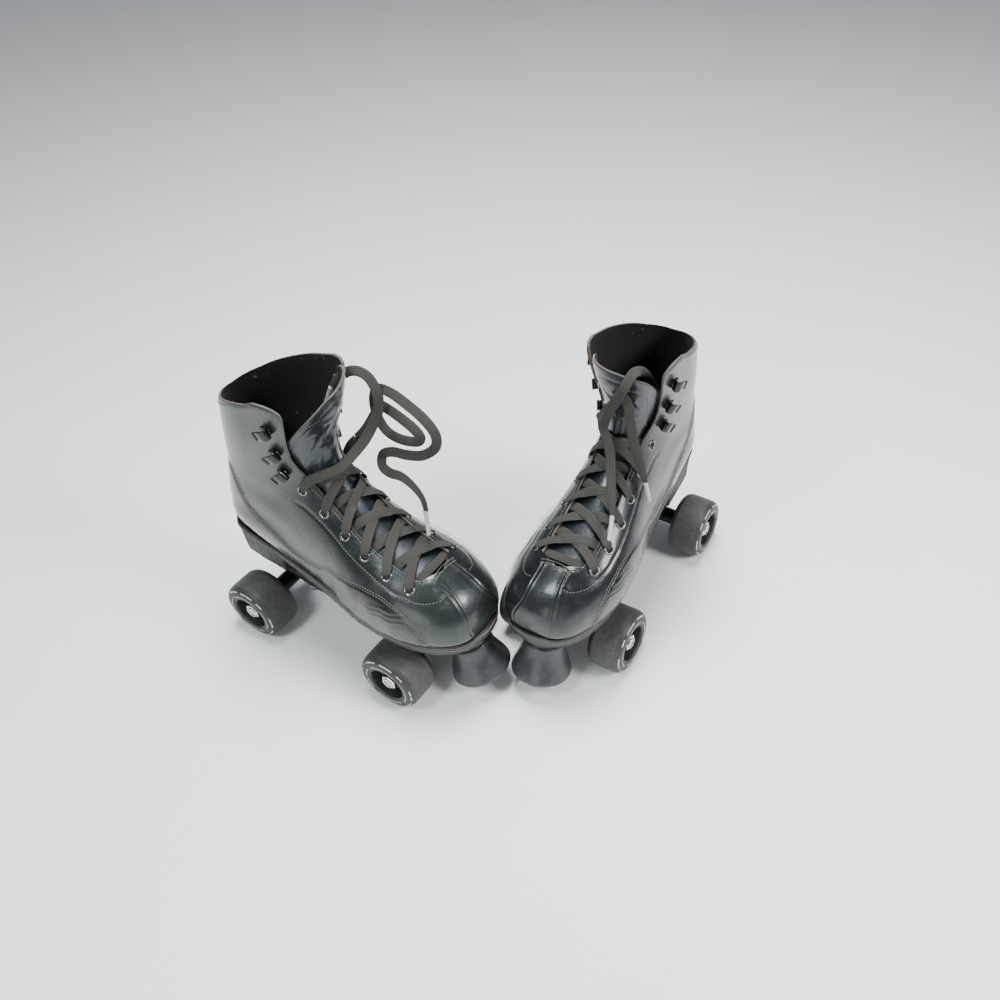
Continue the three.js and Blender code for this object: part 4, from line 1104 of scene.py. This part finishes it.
# distances from the axle's middle, from the floor for the ring's height; steer is the line that a
# hanger turns about, and the kingpin stands square to it
gear = {"halfTrack": 62.6, "width": 33.0, "coreCentre": 43.0, "nutInset": 2.8, "nutHalf": 3.0,
        "ringBack": 25.0, "ringHeight": 38.0, "stopAhead": 133.3, "stopHeight": 16.7, "stopTilt": 16}
steer = unit(np.array([0, 34.0, 9.0]))
kingUp = np.array([0, -steer[2], steer[1]])
stopTilt = math.radians(gear["stopTilt"])
stopAxis = np.array([0, -math.sin(stopTilt), math.cos(stopTilt)])
profiles = {  # (radius, distance along the axis)
    "axle": rounded([(0, -60.2), (3.5, -60.2), (4, -59.6), (4, 59.6), (3.5, 60.2), (0, 60.2)], 0.3),
    "core": rounded([(4.4, -10.4), (11, -10.4), (16, -6), (16, 9), (14.8, 10.3), (12.3, 10.4), (11.6, 9.0),
                     (11.4, 7.4), (4.4, 7.4), (4.4, -10.4)], 0.5),
    "bearing": rounded([(4.4, 7.2), (4.4, 9.6), (5.9, 9.6), (6.1, 9.1), (9.3, 9.1), (9.5, 9.6), (10.9, 9.6),
                        (11.1, 9.1), (11.1, 7.2), (4.4, 7.2)], 0.25),
    "nut": [(4.2, -3), (7.33, -3), (7.33, 2.3), (6.5, 3.0), (5.6, 3.0), (4.2, 3.0), (4.2, -3)],
    "collar": rounded([(4.1, 2.6), (5.5, 2.6), (5.4, 3.7), (4.9, 4.1), (4.1, 4.1), (4.1, 2.6)], 0.3),
    "stop": rounded([(5.3, 9.3), (11, 9.3), (11, 0), (24.6, 0), (26.4, 2.4), (26.0, 5), (23.6, 12),
                     (20.9, 19), (19.3, 25), (18.7, 31), (18.5, 34.6), (16.2, 35.6), (15.9, 37.6),
                     (17.0, 38.0), (17.0, 39.9), (5.3, 39.9), (5.3, 9.3)], 1.2, 4),
    "stem": rounded([(0, 4), (9, 4), (9, 9), (5, 9), (5, 54), (0, 54)], 0.6),
    "kingpin": rounded([(0, -20.9), (7, -20.9), (7, -14.9), (9, -14.9), (9, -13.3), (4, -13.3), (4, 27),
                        (0, 27)], 0.5),
    "Upper": rounded([(4.3, 3.3), (9.5, 3.3), (10.5, 10.8), (9.5, 18.2), (4.3, 18.2), (4.3, 3.3)], 0.8),
    "Lower": rounded([(4.3, -13), (8, -13), (9.8, -6.3), (9, -3.3), (4.3, -3.3), (4.3, -13)], 0.8)}
tyreKeys = [(16.3, -13), (17.4, -15.4), (19.6, -16.4), (23.0, -16.4), (26.6, -14.9), (28.5, -11.8),
            (29.0, -7.5), (29.0, 7.5), (28.5, 11.8), (26.6, 14.9), (23.0, 16.4), (19.6, 16.4),
            (17.4, 15.4), (16.3, 13), (16.3, -13)]
cushionEnds = {"Upper": (18.2, 3.3), "Lower": (-13.0, -3.3)}  # held by the skate, moved by the ring


def evenProfile(keys, count):
    # a smooth curve through the keys, as count points at nearly equal steps
    fine, _ = evenPath(keys, 0.4)
    return fine[np.linspace(0, len(fine) - 1, count).round().astype(int)]


def putGear(label, profile, centre, axis, finish, skate, body, slot, node=None, sides=40):
    # one turned piece of the running gear, which doesn't lean with the boot
    node = node and f"{skate['name']}_{node}"
    return putTurned(skate["name"] + label, [(profile, centre, axis)], finish, skate, body, slot, sides,
                     False, node)


def makeWheel(skate, truck, end, hand, hub, out):
    # everything is turned about the axle: the tyre's middle, the core and the nut at their distances out
    label = f"_{end}_{hand}_wheel"
    wheel = skate["name"] + label
    middle = hub + out * (gear["halfTrack"] - gear["width"] / 2)
    core = hub + out * gear["coreCentre"]
    seat = hub + out * (gear["halfTrack"] - gear["nutInset"] - gear["nutHalf"])
    putGear(f"{label}Tyre", evenProfile(tyreKeys, 90), middle, out, "wheel", skate, wheel,
            "wheel_polyurethane", f"{end}_{hand}_tyre", 120)
    putGear(f"{label}Hub", profiles["core"], core, out, "hub", skate, wheel, "wheel_core",
            f"{end}_{hand}_core", 72)
    putGear(f"{label}Bearing", profiles["bearing"], core, out, "steel", skate, wheel, "plated_steel",
            sides=64)
    points, faces, uv = turned(profiles["nut"], seat, out, 6)
    makePiece(f"{wheel}Nut", toRow(points, skate), faces, "chrome", truck, "bright_nut", uv,
              smooth=False, node=f"{skate['name']}_{end}_{hand}_nut")
    putGear(f"{label}NutCollar", profiles["collar"], seat, out, "chrome", skate, truck, "bright_nut")


def makeTruck(skate, end, sign):
    # each half of the cushion is turned round the kingpin at the ring; its end held by the plate and its end
    # moved by the ring are worked out but not used
    body, truck = skate["body"], f"{skate['name']}_truck_{end}"
    across = np.array([1.0, 0, 0])
    hub = np.array([0, sign * skate["axleAhead"], skate["axleHeight"]])
    ring = np.array([0, sign * (skate["axleAhead"] - gear["ringBack"]), gear["ringHeight"]])
    king = kingUp * [1, sign, 1]
    putGear(f"AxleRod{end}", profiles["axle"], hub, across, "steel", skate, truck, "plated_steel",
            f"axle_{end}")
    putGear(f"Kingpin{end}", profiles["kingpin"], ring, king, "steel", skate, body, "plated_steel",
            f"kingpin_{end}")
    for half, ends in cushionEnds.items():
        rubber = putGear(f"Cushion{half}{end}", profiles[half], ring, king, "cushion", skate, None,
                         "cushion_rubber")
        held, moved = [toRow(ring + king * at, skate).tolist() for at in ends]
        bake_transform(rubber)
        if half == "Upper":
            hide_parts(f"{skate['name']}_cushion_{end}")
    for hand, s in (("outer", 1), ("inner", -1)):
        makeWheel(skate, truck, end, hand, hub, across * s)


for skate in skates:
    for end, sign in (("front", 1), ("rear", -1)):
        makeTruck(skate, end, sign)
    stopCentre = np.array([0, gear["stopAhead"], gear["stopHeight"]])
    putGear("ToeStop", profiles["stop"], stopCentre, stopAxis, "stop", skate, skate["body"], "stop_rubber",
            "toe_stop", 96)
    putGear("StopStem", profiles["stem"], stopCentre, stopAxis, "steel", skate, skate["body"],
            "plated_steel", "toe_stop_stem")
    insole = bpy.data.objects[f"{skate['name']}_insole"].data
    insole.materials.clear()
    insole.materials.append(finishes["felt"])
print("running gear made")
